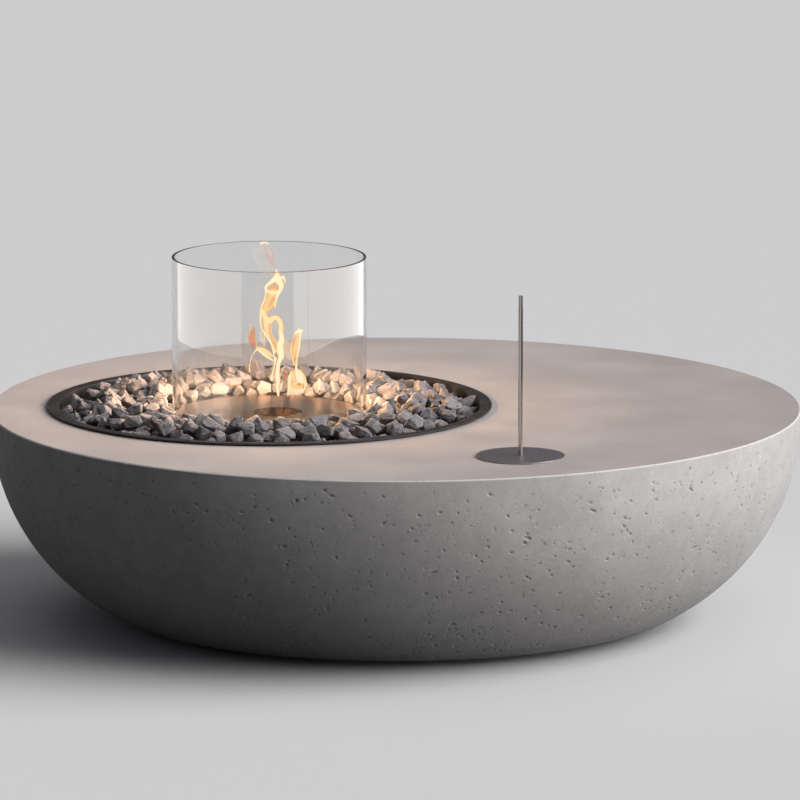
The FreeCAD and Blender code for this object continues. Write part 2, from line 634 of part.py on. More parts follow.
def snuffer_screw():
    head = cone(2 * ROD_SCREW_RADIUS, ROD_SCREW_RADIUS, TOP, TOP + ROD_SCREW_RADIUS,
                SNUFFER_CENTRE)
    shank = cylinder(ROD_SCREW_RADIUS, TOP, SNUFFER_TOP + ROD_SCREW_DEPTH - 2 * FIT,
                     SNUFFER_CENTRE)
    socket = hexagon(ROD_SCREW_RADIUS, TOP, TOP + ROD_SCREW_RADIUS / 2, SNUFFER_CENTRE)
    return head.fuse(shank).removeSplitter().cut(socket)


# Stones: each is a faceted block cut clear of its neighbours, the shelf, the plate and the pan

def clip(faces, normal, offset):
    """Cuts a convex block, held as lists of corners, to the side where normal.p <= offset."""
    kept = []
    rim = []
    for face in faces:
        heights = [normal.dot(p) - offset for p in face]
        if max(heights) <= 0:
            kept.append(face)
            continue
        if min(heights) >= 0:
            continue
        corners = []
        for k, p in enumerate(face):
            q = face[k - 1]
            a = heights[k]
            b = heights[k - 1]
            if (a < 0) != (b < 0):
                crossing = q + (p - q) * (b / (b - a))
                corners.append(crossing)
                rim.append(crossing)
            if a < 0:
                corners.append(p)
        if len(corners) > 2:
            kept.append(corners)
    if len(rim) > 2:
        middle = sum(rim, V(0, 0, 0)) * (1.0 / len(rim))
        across = (rim[0] - middle).normalize()
        along = normal.cross(across)
        rim.sort(key=lambda p: math.atan2((p - middle).dot(along), (p - middle).dot(across)))
        cap = [p for k, p in enumerate(rim) if (p - rim[k - 1]).Length > SAME_POINT]
        if len(cap) > 2:
            kept.append(cap)
    return kept


def reach(faces, normal):
    return max(normal.dot(p) for face in faces for p in face)


def random_turn(rng):
    axis = V(rng.gauss(0, 1), rng.gauss(0, 1), rng.gauss(0, 1)).normalize()
    return FreeCAD.Rotation(axis, rng.uniform(-STONE_TILT, STONE_TILT)).multiply(
        FreeCAD.Rotation(UP, rng.uniform(0, 360)))


def block(middle, half):
    """A cube about a point, as lists of corners."""
    signs = ((-1, -1), (1, -1), (1, 1), (-1, 1))
    faces = []
    for axis in range(3):
        for side in (-1, 1):
            corners = []
            for a, b in signs if side > 0 else signs[::-1]:
                place = [0, 0, 0]
                place[axis] = side * half
                place[(axis + 1) % 3] = a * half
                place[(axis + 2) % 3] = b * half
                corners.append(middle + V(*place))
            faces.append(corners)
    return faces


def rough_stone(middle, rng):
    """A flat-sided pebble: an ellipsoid's tangent planes, spread round it and jittered."""
    sizes = [s * rng.uniform(1 - STONE_SIZE_SPREAD, 1 + STONE_SIZE_SPREAD)
             for s in STONE_HALF_SIZES]
    turn = random_turn(rng)
    faces = block(middle, 2 * max(sizes))
    golden = math.pi * (3 - math.sqrt(5))
    for k in range(STONE_FACETS):
        z = 1 - (2 * k + 1) / STONE_FACETS
        flat = math.sqrt(1 - z * z)
        spot = V(flat * math.cos(golden * k), flat * math.sin(golden * k), z)
        jitter = V(rng.gauss(0, 1), rng.gauss(0, 1), rng.gauss(0, 1)) * STONE_FACET_JITTER
        n = (spot + jitter).normalize()
        far = math.sqrt(sum((s * c) ** 2 for s, c in zip(sizes, (n.x, n.y, n.z))))
        normal = turn.multVec(n)
        faces = clip(faces, normal, normal.dot(middle) + far * rng.uniform(STONE_FACET_NEAR, 1))
    return faces


def stone_places(rng):
    """Stone centres thrown at random into the ring, none nearer to another than the spacing."""
    inner = PLATE_RADIUS + STONE_WALL_GAP + STONE_HALF_SIZES[2]
    outer = PAN_INNER_RADIUS - STONE_WALL_GAP - STONE_HALF_SIZES[2]
    places = []
    for _ in range(STONE_TRIES):
        radius = math.sqrt(rng.uniform(inner ** 2, outer ** 2))
        turn = rng.uniform(0, 2 * math.pi)
        share = (radius - inner) / (outer - inner)
        crest = (STONE_CREST - STONE_INNER_FALL * (1 - share) ** STONE_FALL_POWER
                 - STONE_OUTER_FALL * share ** STONE_FALL_POWER)
        level = rng.uniform(STONE_BOTTOM, crest)
        p = PAN_CENTRE + V(radius * math.cos(turn), radius * math.sin(turn), TOP + level)
        if all((p - q).Length > STONE_SPACING for q in places):
            places.append(p)
        if len(places) == STONE_COUNT:
            break
    return places


def solid_of(faces):
    made = [Part.Face(Part.makePolygon(face + face[:1])) for face in faces]
    solid = Part.Solid(Part.Shell(made))
    if solid.Volume < 0:
        solid.reverse()
    return solid


def carried(k, made):
    """Whether a stone rests on the shelf or on another stone."""
    faces, touched = made[k]
    return reach(faces, -UP) > -SHELF_TOP - NEAR or any(k in made[other][1] for other in touched)


def stones():
    """All stones that something carries, each as its centre and solid."""
    rng = random.Random(STONE_SEED)
    places = stone_places(rng)
    nearby = 2 * max(STONE_HALF_SIZES) * (1 + STONE_SIZE_SPREAD)
    made = []
    for p in places:
        faces = rough_stone(p, rng)
        out = V(p.x - PAN_CENTRE.x, p.y - PAN_CENTRE.y, 0).normalize()
        centre_line = out.dot(PAN_CENTRE)
        limits = [(None, -UP, -SHELF_TOP),
                  (None, out, centre_line + PAN_INNER_RADIUS - STONE_WALL_GAP),
                  (None, -out, -(centre_line + PLATE_RADIUS + STONE_WALL_GAP))]
        for other, q in enumerate(places):
            apart = q - p
            if 0 < apart.Length < nearby:
                half_way = (p + q) * 0.5
                normal = V(apart).normalize()
                limits.append((other, normal, normal.dot(half_way) - STONE_GAP / 2))
        touched = set()
        for other, normal, offset in limits:
            over = reach(faces, normal) - offset
            if over > 0:
                faces = clip(faces, normal, offset - max(STONE_MIN_CUT - over, 0))
            if over > STONE_SEAT and other is not None:
                touched.add(other)
        made.append((faces, touched))
    return [(places[k], solid_of(made[k][0])) for k in range(len(made)) if carried(k, made)]


def save_stones():
    """Sorts the stones into three bands round the burner, one node each."""
    bands = {"stones_inner": [], "stones_middle": [], "stones_outer": []}
    for p, solid in stones():
        radius = math.hypot(p.x - PAN_CENTRE.x, p.y - PAN_CENTRE.y)
        if radius < PLATE_RADIUS + STONE_BAND:
            bands["stones_inner"].append(solid)
        elif radius < PAN_INNER_RADIUS - STONE_BAND:
            bands["stones_middle"].append(solid)
        else:
            bands["stones_outer"].append(solid)
    for name, solids in bands.items():
        save(name, solids)


SINGLE_PIECES = (
    concrete_bowl, base_plate, fire_pan, pan_gasket, stone_shelf, burner_stand, burner_plate,
    mouth_ring, cup_gasket, fuel_cup, burner_jacket, ceramic_wool, wool_screen, glass_gasket,
    glass_screen, snuffer_disc, snuffer_rod, snuffer_screw,
)
GROUPS = (
    base_inserts, base_screws, floor_glides, pan_brackets, bracket_bolts, bracket_nuts,
    shelf_legs, stand_bolts, stand_nuts, plate_studs, jacket_nuts,
)

for piece in SINGLE_PIECES:
    save(piece.__name__, [piece()])
for group in GROUPS:
    save(group.__name__, group())
save_stones()
print(f"table top {TOP:.1f} mm, foot radius {FOOT_RADIUS:.1f} mm, arc {SIDE_ARC_RADIUS:.1f} mm")
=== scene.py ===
"""Looks of a round concrete fire pit table: cast bowl, pan of stones, burner, glass, snuffer and flame."""

import math
import random

import bmesh
import bpy
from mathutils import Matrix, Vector, noise
from mathutils.kdtree import KDTree


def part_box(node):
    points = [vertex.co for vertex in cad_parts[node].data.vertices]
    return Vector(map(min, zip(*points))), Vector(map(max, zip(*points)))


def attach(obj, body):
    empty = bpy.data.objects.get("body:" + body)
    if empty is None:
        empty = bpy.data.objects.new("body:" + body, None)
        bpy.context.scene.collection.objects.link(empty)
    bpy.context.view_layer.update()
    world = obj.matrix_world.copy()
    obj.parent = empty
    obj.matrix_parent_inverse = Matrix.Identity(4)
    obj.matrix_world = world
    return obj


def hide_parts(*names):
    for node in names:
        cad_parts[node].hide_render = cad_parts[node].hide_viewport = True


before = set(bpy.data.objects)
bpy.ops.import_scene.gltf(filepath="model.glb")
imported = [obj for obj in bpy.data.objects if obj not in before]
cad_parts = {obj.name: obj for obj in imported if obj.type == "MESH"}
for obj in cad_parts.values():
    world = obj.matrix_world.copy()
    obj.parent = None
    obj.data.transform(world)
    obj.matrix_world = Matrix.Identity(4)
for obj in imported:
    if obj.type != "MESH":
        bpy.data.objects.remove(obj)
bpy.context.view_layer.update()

bl_info = {
    "name": "Fire pit table looks",
    "version": (1, 0, 0),
    "blender": (4, 5, 0),
    "location": "View3D > Sidebar > Fire pit",
    "description": "Dresses a packed fire pit table with its concrete, stones, metal, glass and flame",
    "category": "Object",
}

MM = 0.001
UP = Vector((0, 0, 1))

# Places read from the frame, in metres
BOWL_LOW, BOWL_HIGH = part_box("concrete_bowl")
PAN_LOW, PAN_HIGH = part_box("fire_pan")
MOUTH_LOW, MOUTH_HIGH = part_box("mouth_ring")
TABLE_TOP = BOWL_HIGH.z
BOWL_RADIUS = BOWL_HIGH.x
PAN_X = (PAN_LOW.x + PAN_HIGH.x) / 2
MOUTH_X = (MOUTH_LOW.x + MOUTH_HIGH.x) / 2

# The bowl's section, in metres
RIM_LAND = 14 * MM                 # upright band under the rim
RIM_CHAMFER = 2 * MM
FOOT_INSET = 230.4 * MM            # how far the side draws in from the rim to the foot
FOOT_EDGE_RADIUS = 6 * MM
FOOT_EDGE_ROWS = 3
SLAB_THICKNESS = 30 * MM
WALL_THICKNESS = 24 * MM
FOOT_THICKNESS = 38 * MM
FOOT_OPENING_RADIUS = 400 * MM
PAN_OPENING_RADIUS = 397 * MM
BOWL_DEPTH = TABLE_TOP - BOWL_LOW.z
SIDE_FALL = BOWL_DEPTH - RIM_LAND
SIDE_ARC_RADIUS = (SIDE_FALL ** 2 + FOOT_INSET ** 2) / (2 * FOOT_INSET)

# The bowl's skin is a grid, with finer cells where a pore lies
BOWL_CELL = 12 * MM
TOP_CELL_STRETCH = 1.6             # cells of the plain top are longer by this
UNDER_SHARES = (0.25, 0.5, 0.75, 1.0)   # rows under the slab, from the wall to the pan's hole
SHARP_EDGE = math.radians(25)

PORE_CUTS = 5
PORE_SEED = 7
RIM_PORE_SIZE = 0.7                # pores of the rim and of the top, beside those of the side
TOP_PORE_SIZE = 0.5
PORE_FREE_RING = 10 * MM           # round the pan's flange
PORE_FREE_RIM = 0.985              # share of the bowl's radius that the top's pores keep to
LEAST_PORE = 0.4                   # radius of the smallest, as a share of the largest
LARGE_RARITY = 2.4                 # the higher, the fewer are large
LONGEST_PORE = 2.0                 # how much longer than wide the longest is, in widths
LONG_RARITY = 4                    # the higher, the fewer are long
LIE_SPREAD = 1.2                   # radians either way from level, and less for a long one
PORE_DEPTHS = (0.35, 0.8)          # in radii
PORE_REACH = 1.25                  # how far a ragged edge strays, in radii
RAGGED_SCALE = 1.6                 # bumps of the edge for each radius round it
RAGGED_DEPTH = 0.6                 # in radii
LARGEST_TURN = 0.65                # cosine between a pore and a face that it may lie in
CUT_REACH = 1.3                    # cells are cut within so many radii of a pore,
HALF_DIAGONAL = 0.72               # and so many cell sides beyond

STONE_SEED = 21
ONE_POINT = 0.02 * MM              # points closer than this are one
ONE_PLANE = math.radians(1.5)      # faces that turn less than this are one
STONE_LEVELS = 2                   # how often a stone's faces are divided
STONE_SHARPNESS = (0.45, 0.85)     # crease of a stone's edges, from the roundest stone to the sharpest
EDGE_SPREAD = 0.12                 # and how much the edges of one stone differ
CHIP_SCALE = 120                   # chips of about 8 mm
WEAR_START = 0.55                  # how far a place sticks out before it is worn
WEAR_GAIN = 4.5

# The camera, found from the rim, the glass and the pan in the photograph
CAMERA_PLACE = (0.008, -18.236, 3.672)
CAMERA_DOWN = 10.166
CAMERA_LENS = 450.0
SENSOR_WIDTH = 36.0
VIEW_DEPTH = 500.0

FLOOR_RADIUS = 200.0
FLOOR_SIDES = 64

# The tall lights that the glass mirrors stand this far from its middle, between these heights
SOFT_BOX_REACH = 1.5
SOFT_BOX_HEIGHTS = (0.28, 0.9)
SOFT_BOX_STEP = 5                  # degrees


# Colours and nodes

def channels_of(hex_colour):
    """Red, green and blue of an sRGB hex colour, each from 0 to 1."""
    return [int(hex_colour[k:k + 2], 16) / 255 for k in (1, 3, 5)]


def linear(hex_colour):
    """An sRGB hex colour as the linear colour that a shader takes."""
    return [c / 12.92 if c <= 0.04045 else ((c + 0.055) / 1.055) ** 2.4
            for c in channels_of(hex_colour)] + [1.0]


def hex_of(colour):
    """A colour property's sRGB value as hex."""
    return "#" + "".join(f"{round(255 * c):02X}" for c in colour[:3])


def add_node(tree, kind, inputs=(), output=0, **settings):
    """Adds a node with its settings and gives back one of its outputs. The inputs come in the node's own
    order or by name, and each is another node's output, a hex colour or a plain value."""
    node = tree.nodes.new("ShaderNode" + kind)
    for name, value in settings.items():
        setattr(node, name, value)
    for name, value in inputs.items() if isinstance(inputs, dict) else enumerate(inputs):
        if isinstance(value, bpy.types.NodeSocket):
            tree.links.new(value, node.inputs[name])
        else:
            node.inputs[name].default_value = linear(value) if isinstance(value, str) else value
    return node.outputs[output] if node.outputs else None


def new_material(name):
    """An empty material and its node tree."""
    material = bpy.data.materials.new(name)
    material.use_nodes = True
    material.node_tree.nodes.clear()
    return material, material.node_tree


def surfaced(material, shader):
    """A material whose nodes are done, with its surface."""
    add_node(material.node_tree, "OutputMaterial", {"Surface": shader})
    return material


def place_height(tree):
    """Height over the floor."""
    return add_node(tree, "SeparateXYZ", (add_node(tree, "TexCoord", output="Object"),), "Z")


def place_noise(tree, size_mm, detail=3.0, roughness=0.5, stretch=(1, 1, 1), span=None):
    """Noise in the object's own space. Its blobs are about size_mm wide. A span of its values may be drawn
    out to reach from 0 to 1."""
    where = add_node(tree, "TexCoord", output="Object")
    scaled = add_node(tree, "Mapping", {"Vector": where, "Scale": stretch})
    pattern = add_node(tree, "TexNoise", {"Vector": scaled, "Scale": 1 / (size_mm * MM), "Detail": detail,
                                          "Roughness": roughness}, "Fac")
    return add_node(tree, "MapRange", (pattern, *span)) if span else pattern


def place_specks(tree, spacing_mm, inner, outer, stretch=(1, 1, 1)):
    """Scattered specks about spacing_mm apart. Each fades out between two shares of that spacing."""
    where = add_node(tree, "TexCoord", output="Object")
    scaled = add_node(tree, "Mapping", {"Vector": where, "Scale": stretch})
    away = add_node(tree, "TexVoronoi", {"Vector": scaled, "Scale": 1 / (spacing_mm * MM),
                                         "Randomness": 1.0}, "Distance")
    return add_node(tree, "MapRange", (away, outer, inner))


def layered(tree, colour, *layers):
    """A base colour with others laid over it in turn. Each layer is where it lies, how much of it shows
    there, and its colour."""
    for where, share, over in layers:
        cover = add_node(tree, "Math", (where, share), operation="MULTIPLY")
        colour = add_node(tree, "Mix", {0: cover, 6: colour, 7: over}, 2, data_type="RGBA")
    return colour


def relief(tree, *layers):
    """Bumps that lie on each other. Each layer is its pattern and its depth in mm."""
    under = {}
    for pattern, depth_mm in layers:
        normal = add_node(tree, "Bump", {"Height": pattern, "Distance": depth_mm * MM,
                                         "Strength": 1.0} | under)
        under = {"Normal": normal}
    return normal


# Materials

def cast_concrete(settings):
    """Grey cement skin straight from the mould: matt, cloudy, with dusty sand grain, pores and pinholes
    darkened by painted shade, and a painted highlight that pales the rim's chamfer and the top few mm of
    the side all round. Damp stains and specks of lime lie under the grain. Real sand is finer than a
    millimetre and is drawn coarser, so that it shows."""
    material, tree = new_material("cast_concrete")
    clouds = place_noise(tree, 140, detail=4, span=(0.35, 0.65))
    stain = place_noise(tree, 28, detail=4, roughness=0.6, span=(0.42, 0.66))
    grain = place_noise(tree, settings.grain_size / MM, detail=2, span=(0.3, 0.7))
    lime = place_specks(tree, settings.lime_spacing / MM, 0.06, 0.13)
    # Painted highlight: the rim's chamfer and the side's top 4 mm are painted paler all round, as if they
    # caught the light.
    edge = add_node(tree, "MapRange", (place_height(tree), TABLE_TOP - 4 * MM, TABLE_TOP - 1.5 * MM))
    patches = place_noise(tree, 45, detail=3, span=(0.42, 0.62))
    # Pinholes: dark specks of painted shade, dented a little by the bump below.
    holes = place_specks(tree, settings.pinhole_spacing / MM, 0.08, 0.16)
    pinhole = add_node(tree, "Math", (holes, patches), operation="MULTIPLY")
    # Painted shade: the pore mark from the mesh darkens the inside of each sunk pore.
    pore = add_node(tree, "Attribute", output="Fac", attribute_name="pore")
    colour = layered(tree, hex_of(settings.side_colour), (clouds, 1.0, hex_of(settings.side_cloud)),
                     (stain, 0.24, "#969496"), (grain, 0.12, "#6F6D6C"), (lime, 0.5, "#E2E0DD"),
                     (edge, 0.6, "#DAD6D2"), (pinhole, 0.45, "#4A4848"), (pore, 0.5, "#3E3C3C"))
    rough = add_node(tree, "MapRange", (clouds, 0.0, 1.0, 0.72, 0.82))
    normal = relief(tree, (place_noise(tree, 60), 0.35), (grain, 0.07), (pinhole, -0.5))
    return surfaced(material, add_node(tree, "BsdfPrincipled", {
        "IOR": 1.5, "Base Color": colour, "Roughness": rough, "Normal": normal}))


def ground_concrete(settings):
    """The same concrete ground flat and sealed: smoother, warmer, with pale flecks of aggregate."""
    material, tree = new_material("ground_sealed_concrete")
    clouds = place_noise(tree, 190, detail=4, span=(0.35, 0.65))
    grain = place_noise(tree, settings.grain_size * 0.8 / MM, detail=2, span=(0.3, 0.7))
    patches = place_noise(tree, 90, span=(0.5, 0.6))
    specks = place_specks(tree, settings.fleck_spacing / MM, 0.04, 0.10, stretch=(0.55, 1.0, 1.0))
    fleck = add_node(tree, "Math", (specks, patches), operation="MULTIPLY")
    # Painted shade: the pore mark from the mesh darkens the inside of each sunk pore of the top.
    pore = add_node(tree, "Attribute", output="Fac", attribute_name="pore")
    colour = layered(tree, hex_of(settings.top_colour), (clouds, 1.0, hex_of(settings.top_cloud)),
                     (grain, 0.08, "#8B857F"), (fleck, 0.6, "#E9E4DC"), (pore, 0.5, "#5A5652"))
    rough = add_node(tree, "MapRange", (clouds, 0.0, 1.0, 0.46, 0.56))
    return surfaced(material, add_node(tree, "BsdfPrincipled", {
        "IOR": 1.5, "Base Color": colour, "Roughness": rough, "Normal": relief(tree, (grain, 0.03))}))


def powder_coat(settings):
    """Graphite powder coat baked on sheet steel: a fine orange-peel skin with a dull satin gleam, and a
    little dust. The peel is drawn about twice as coarse as it is."""
    material, tree = new_material("graphite_powder_coat")
    dust = place_noise(tree, 45, detail=4, span=(0.4, 0.7))
    colour = layered(tree, hex_of(settings.coat_colour), (dust, 0.15, "#6B6466"))
    return surfaced(material, add_node(tree, "BsdfPrincipled", {
        "IOR": 1.5, "Roughness": 0.5, "Base Color": colour,
        "Normal": relief(tree, (place_noise(tree, 2.5, detail=1), 0.08))}))


def bare_metal(material, tree, colour, pattern, roughness, line_depth=None, span=(0.3, 0.7)):
    """Finishes a bare metal. A pattern varies its roughness between two values, and may stand out."""
    inputs = {"Metallic": 1.0, "Base Color": colour,
              "Roughness": add_node(tree, "MapRange", (pattern, *span, *roughness))}
    if line_depth is not None:
        inputs["Normal"] = relief(tree, (pattern, line_depth))
    return surfaced(material, add_node(tree, "BsdfPrincipled", inputs))


def zinc_plate():
    """Zinc-plated steel: bright grey with faint spangle and a dry, uneven gleam."""
    material, tree = new_material("zinc_plated_steel")
    spangle = place_noise(tree, 9, detail=2)
    share = add_node(tree, "MapRange", (spangle, 0.35, 0.65))
    colour = layered(tree, "#A9ACAF", (share, 1.0, "#BFC1C2"))
    return bare_metal(material, tree, colour, spangle, (0.34, 0.5))


def brushed_stainless(settings):
    """Stainless sheet brushed along one way: long fine lines that smear what it mirrors. The real lines are
    under half a millimetre apart and are drawn about 2 mm apart, so that they show."""
    material, tree = new_material("brushed_stainless_steel")
    lines = place_noise(tree, 2.0, detail=2, stretch=(0.04, 1.0, 1.0))
    tint = place_noise(tree, 120, detail=2, span=(0.35, 0.7))
    colour = layered(tree, hex_of(settings.plate_colour), (tint, 1.0, hex_of(settings.heat_tint)))
    return bare_metal(material, tree, colour, lines, (0.28, 0.34), 0.008)


def sooted_steel_and_mouth_shade():
    """Stainless sheet round the flame, browned by heat and dulled by a little soot, and painted dark brown
    as the shade inside the burner's mouth.
    """
    material, tree = new_material("heat_browned_steel_and_mouth_shade")
    soot_and_shade = place_noise(tree, 16, detail=4)
    share = add_node(tree, "MapRange", (soot_and_shade, 0.35, 0.65))
    # Painted shade: these dark browns stand for the shade inside the burner's mouth, over a real
    # heat-browning and soot.
    colour = layered(tree, "#7E6450", (share, 1.0, "#3F342D"))
    return bare_metal(material, tree, colour, soot_and_shade, (0.4, 0.65), span=(0.35, 0.65))


def blackened_steel(settings):
    """Stainless disc, blackened and brushed: dark purplish grey with a soft even sheen. Its lines are
    drawn coarser than they are, so that they show."""
    material, tree = new_material("blackened_brushed_steel")
    lines = place_noise(tree, 1.6, detail=2, stretch=(0.05, 1.0, 1.0))
    colour = layered(tree, hex_of(settings.disc_colour), (lines, 0.4, "#BAB2B7"))
    return bare_metal(material, tree, colour, lines, (0.42, 0.5), 0.015)


def ground_bar(settings):
    """Centreless-ground steel bar: bright satin, a little duller where it is handled."""
    material, tree = new_material("ground_steel_bar")
    handled = place_noise(tree, 60, detail=2)
    return bare_metal(material, tree, hex_of(settings.rod_colour), handled, (0.2, 0.27))


def stainless_fastener():
    """Cold-headed stainless screws and nuts: bright, a little dulled by handling."""
    material, tree = new_material("stainless_fastener")
    marks = place_noise(tree, 4, detail=3)
    colour = layered(tree, "#A8A6A3", (marks, 1.0, "#C9C7C4"))
    return bare_metal(material, tree, colour, marks, (0.25, 0.4))


def moulded_rubber(name, dark, pale):
    """Black rubber from a mould: matt, with a little bloom."""
    material, tree = new_material(name)
    bloom = place_noise(tree, 12, detail=3, span=(0.45, 0.75))
    return surfaced(material, add_node(tree, "BsdfPrincipled", {
        "IOR": 1.52, "Roughness": 0.85, "Base Color": layered(tree, dark, (bloom, 1.0, pale)),
        "Normal": relief(tree, (place_noise(tree, 1.5), 0.05))}))


def ceramic_fibre():
    """Ceramic wool mat: off-white, fluffy and quite matt. The hair-fine fibres are drawn as 5 mm tufts, so
    that they show."""
    material, tree = new_material("ceramic_wool_mat")
    fibres = place_noise(tree, 5, detail=6, roughness=0.7)
    return surfaced(material, add_node(tree, "BsdfPrincipled", {
        "IOR": 1.5, "Roughness": 0.95, "Base Color": layered(tree, "#CFC9BC", (fibres, 1.0, "#EFEBE2")),
        "Normal": relief(tree, (fibres, 1.2))}))


def drawn_glass(settings):
    """Clear borosilicate tube with fire-polished rims: seen by its mirrored lights and bright edges.
    Lamps shine through it as through the real one."""
    material, tree = new_material("clear_borosilicate_glass")
    glass = add_node(tree, "BsdfPrincipled", {"Base Color": hex_of(settings.glass_colour), "Roughness": 0.0,
                                              "IOR": 1.47, "Transmission Weight": 1.0})
    through = add_node(tree, "BsdfTransparent", {"Color": "#EEF0F0"})
    lamp = add_node(tree, "LightPath", output="Is Shadow Ray")
    return surfaced(material, add_node(tree, "MixShader", (lamp, glass, through)))


def split_basalt(settings):
    """Broken and tumbled basalt: dark matt grey, each stone its own shade, with chalky worn edges.
    Painted shade darkens each place the lower it lies, to deepen the gaps between the stones."""
    material, tree = new_material("split_basalt")
    tone = add_node(tree, "Attribute", output="Fac", attribute_name="tone")
    wear = add_node(tree, "Attribute", output="Fac", attribute_name="wear")
    mottle = place_noise(tree, 14, detail=4, roughness=0.6)
    mottled = add_node(tree, "MapRange", (mottle, 0.35, 0.7))
    grit = place_noise(tree, 2.2, detail=3, roughness=0.6)
    flakes = place_noise(tree, 7, detail=2, stretch=(1, 1, 2))
    cracks = add_node(tree, "MapRange", (flakes, 0.45, 0.32))
    # Painted shade: darker the lower a place lies under the table top, down to 24 mm below it.
    painted_depth_shade = add_node(tree, "MapRange", (place_height(tree), TABLE_TOP + 2 * MM, TABLE_TOP - 24 * MM))
    colour = layered(tree, hex_of(settings.dark_stone), (tone, 1.0, hex_of(settings.pale_stone)),
                     (mottled, 0.4, "#8A8586"), (cracks, 0.7, "#262527"), (wear, 0.6, "#A6A1A1"),
                     (painted_depth_shade, 0.75, "#171618"))
    rough = add_node(tree, "MapRange", (grit, 0.3, 0.7, 0.62, 0.8))
    normal = relief(tree, (mottle, 1.2), (flakes, 2.2), (grit, 0.5))
    return surfaced(material, add_node(tree, "BsdfPrincipled", {
        "IOR": 1.5, "Base Color": colour, "Roughness": rough, "Normal": normal}))


def burning_alcohol(settings, name, edge_colour, body_colour):
    """An alcohol flame: cream where it is hottest, then golden, with thin cooler edges that let the
    background through."""
    material, tree = new_material(name)
    heat = add_node(tree, "Attribute", output="Fac", attribute_name="warmth")
    body = add_node(tree, "MapRange", (heat, 0.15, 0.45))
    core = add_node(tree, "MapRange", (heat, 0.55, 0.95))
    colour = layered(tree, hex_of(edge_colour), (body, 1.0, hex_of(body_colour)),
                     (core, 1.0, hex_of(settings.core_colour)))
    foot = add_node(tree, "MapRange", (place_height(tree), TABLE_TOP, TABLE_TOP + 16 * MM, 0.25, 1.0))
    thick = add_node(tree, "MapRange", (heat, 0.05, 0.68, 0.0, 0.92))
    alpha = add_node(tree, "Math", (thick, foot), operation="MULTIPLY")
    return surfaced(material, add_node(tree, "BsdfPrincipled", {
        "Base Color": "#000000", "Roughness": 1.0, "Specular IOR Level": 0.0,
        "Emission Strength": settings.brightness, "Emission Color": colour, "Alpha": alpha}))


def studio_floor(settings):
    """Pale seamless paper: flat and matt. It throws less light up at the table than it shows."""
    material, tree = new_material("pale_seamless_paper")
    paper = layered(tree, hex_of(settings.floor_colour), (place_noise(tree, 900, detail=2), 0.1, "#D6D7DA"))
    seen = add_node(tree, "LightPath", output="Is Camera Ray")
    for ray in ("Is Glossy Ray", "Is Transmission Ray"):
        seen = add_node(tree, "Math", (seen, add_node(tree, "LightPath", output=ray)), operation="MAXIMUM")
    return surfaced(material, add_node(tree, "BsdfPrincipled", {
        "Roughness": 0.9, "Specular IOR Level": 0.2,
        "Base Color": layered(tree, hex_of(settings.bounce_colour), (seen, 1.0, paper))}))


# Settings that a user would change

def colour_property(name, description, hex_colour):
    """A colour that the user picks, given as sRGB hex."""
    return bpy.props.FloatVectorProperty(name=name, description=description, subtype="COLOR_GAMMA",
                                         default=channels_of(hex_colour), size=3, min=0.0, max=1.0)


def number_property(name, description, default, low, high, **more):
    """A strength that the user sets, or another number."""
    return bpy.props.FloatProperty(name=name, description=description, default=default, min=low, max=high,
                                   **more)


def length_property(name, description, default_mm, low_mm, high_mm):
    """A length that the user sets, given in mm and kept in metres."""
    return number_property(name, description, default_mm * MM, low_mm * MM, high_mm * MM, unit="LENGTH")


class ConcreteSettings(bpy.types.PropertyGroup):
    side_colour: colour_property("Side", "Cement skin on the curved side", "#B9B7B6")
    side_cloud: colour_property("Side clouds", "Paler patches on the side", "#C6C4C3")
    top_colour: colour_property("Top", "Ground and sealed table top", "#B3ADAD")
    top_cloud: colour_property("Top clouds", "Paler patches on the top", "#BDB7B7")
    grain_size: length_property("Sand grain", "Drawn width of a sand grain", 2.6, 0.5, 10.0)
    pinhole_spacing: length_property("Pinhole spacing", "Distance between pinholes", 11.0, 3.0, 50.0)
    lime_spacing: length_property("Lime spacing", "Distance between lime specks", 19.0, 5.0, 100.0)
    fleck_spacing: length_property("Fleck spacing", "Distance between pale flecks", 26.0, 5.0, 100.0)
    side_pores: bpy.props.IntProperty(name="Side pores", description="Air pores on the curved side",
                                      default=3900, min=0, max=6000)
    top_pores: bpy.props.IntProperty(name="Top pores", description="Air pores on the table top",
                                     default=90, min=0, max=1000)
    rim_chips: bpy.props.IntProperty(name="Rim chips", description="Small chips along the rim",
                                     default=60, min=0, max=500)
    pore_radius: length_property("Pore radius", "Radius of a large pore", 2.8, 0.5, 20.0)


class SteelSettings(bpy.types.PropertyGroup):
    coat_colour: colour_property("Powder coat", "Pan, shelf and base plate", "#242123")
    plate_colour: colour_property("Burner plate", "Brushed stainless sheet", "#C9BBAF")
    heat_tint: colour_property("Heat tint", "Straw colour where the sheet has run hot", "#D0A480")
    disc_colour: colour_property("Snuffer disc", "Blackened steel", "#A8A0A6")
    rod_colour: colour_property("Snuffer rod", "Ground steel bar", "#C8C0BB")
    glass_colour: colour_property("Glass", "Tint of the glass", "#F6F6F5")


class StoneSettings(bpy.types.PropertyGroup):
    dark_stone: colour_property("Dark stones", "The darkest basalt", "#4B4A4E")
    pale_stone: colour_property("Pale stones", "The palest basalt", "#88858A")
    roughening: length_property("Roughening", "Depth of the broken surface", 2.2, 0.0, 5.0)


class FlameSettings(bpy.types.PropertyGroup):
    core_colour: colour_property("Core", "Hottest part of the flame", "#FFF2C8")
    body_colour: colour_property("Body", "Golden part of the flame", "#FBC274")
    edge_colour: colour_property("Edge", "Thin edge of the flame", "#E18A3C")
    veil_colour: colour_property("Veil", "Thin burning gas between the tongues", "#FFE0BC")
    cool_colour: colour_property("Cool tip", "Sooty orange tip beside the flame", "#CE5A22")
    brightness: number_property("Brightness", "Emission of the flame", 1.15, 0.0, 20.0)
    glow: number_property("Glow", "Light that the flame throws on the stones",
                          26.0, 0.0, 200.0, unit="POWER")
    glow_colour: colour_property("Glow colour", "Colour of the flame's light", "#FFC997")


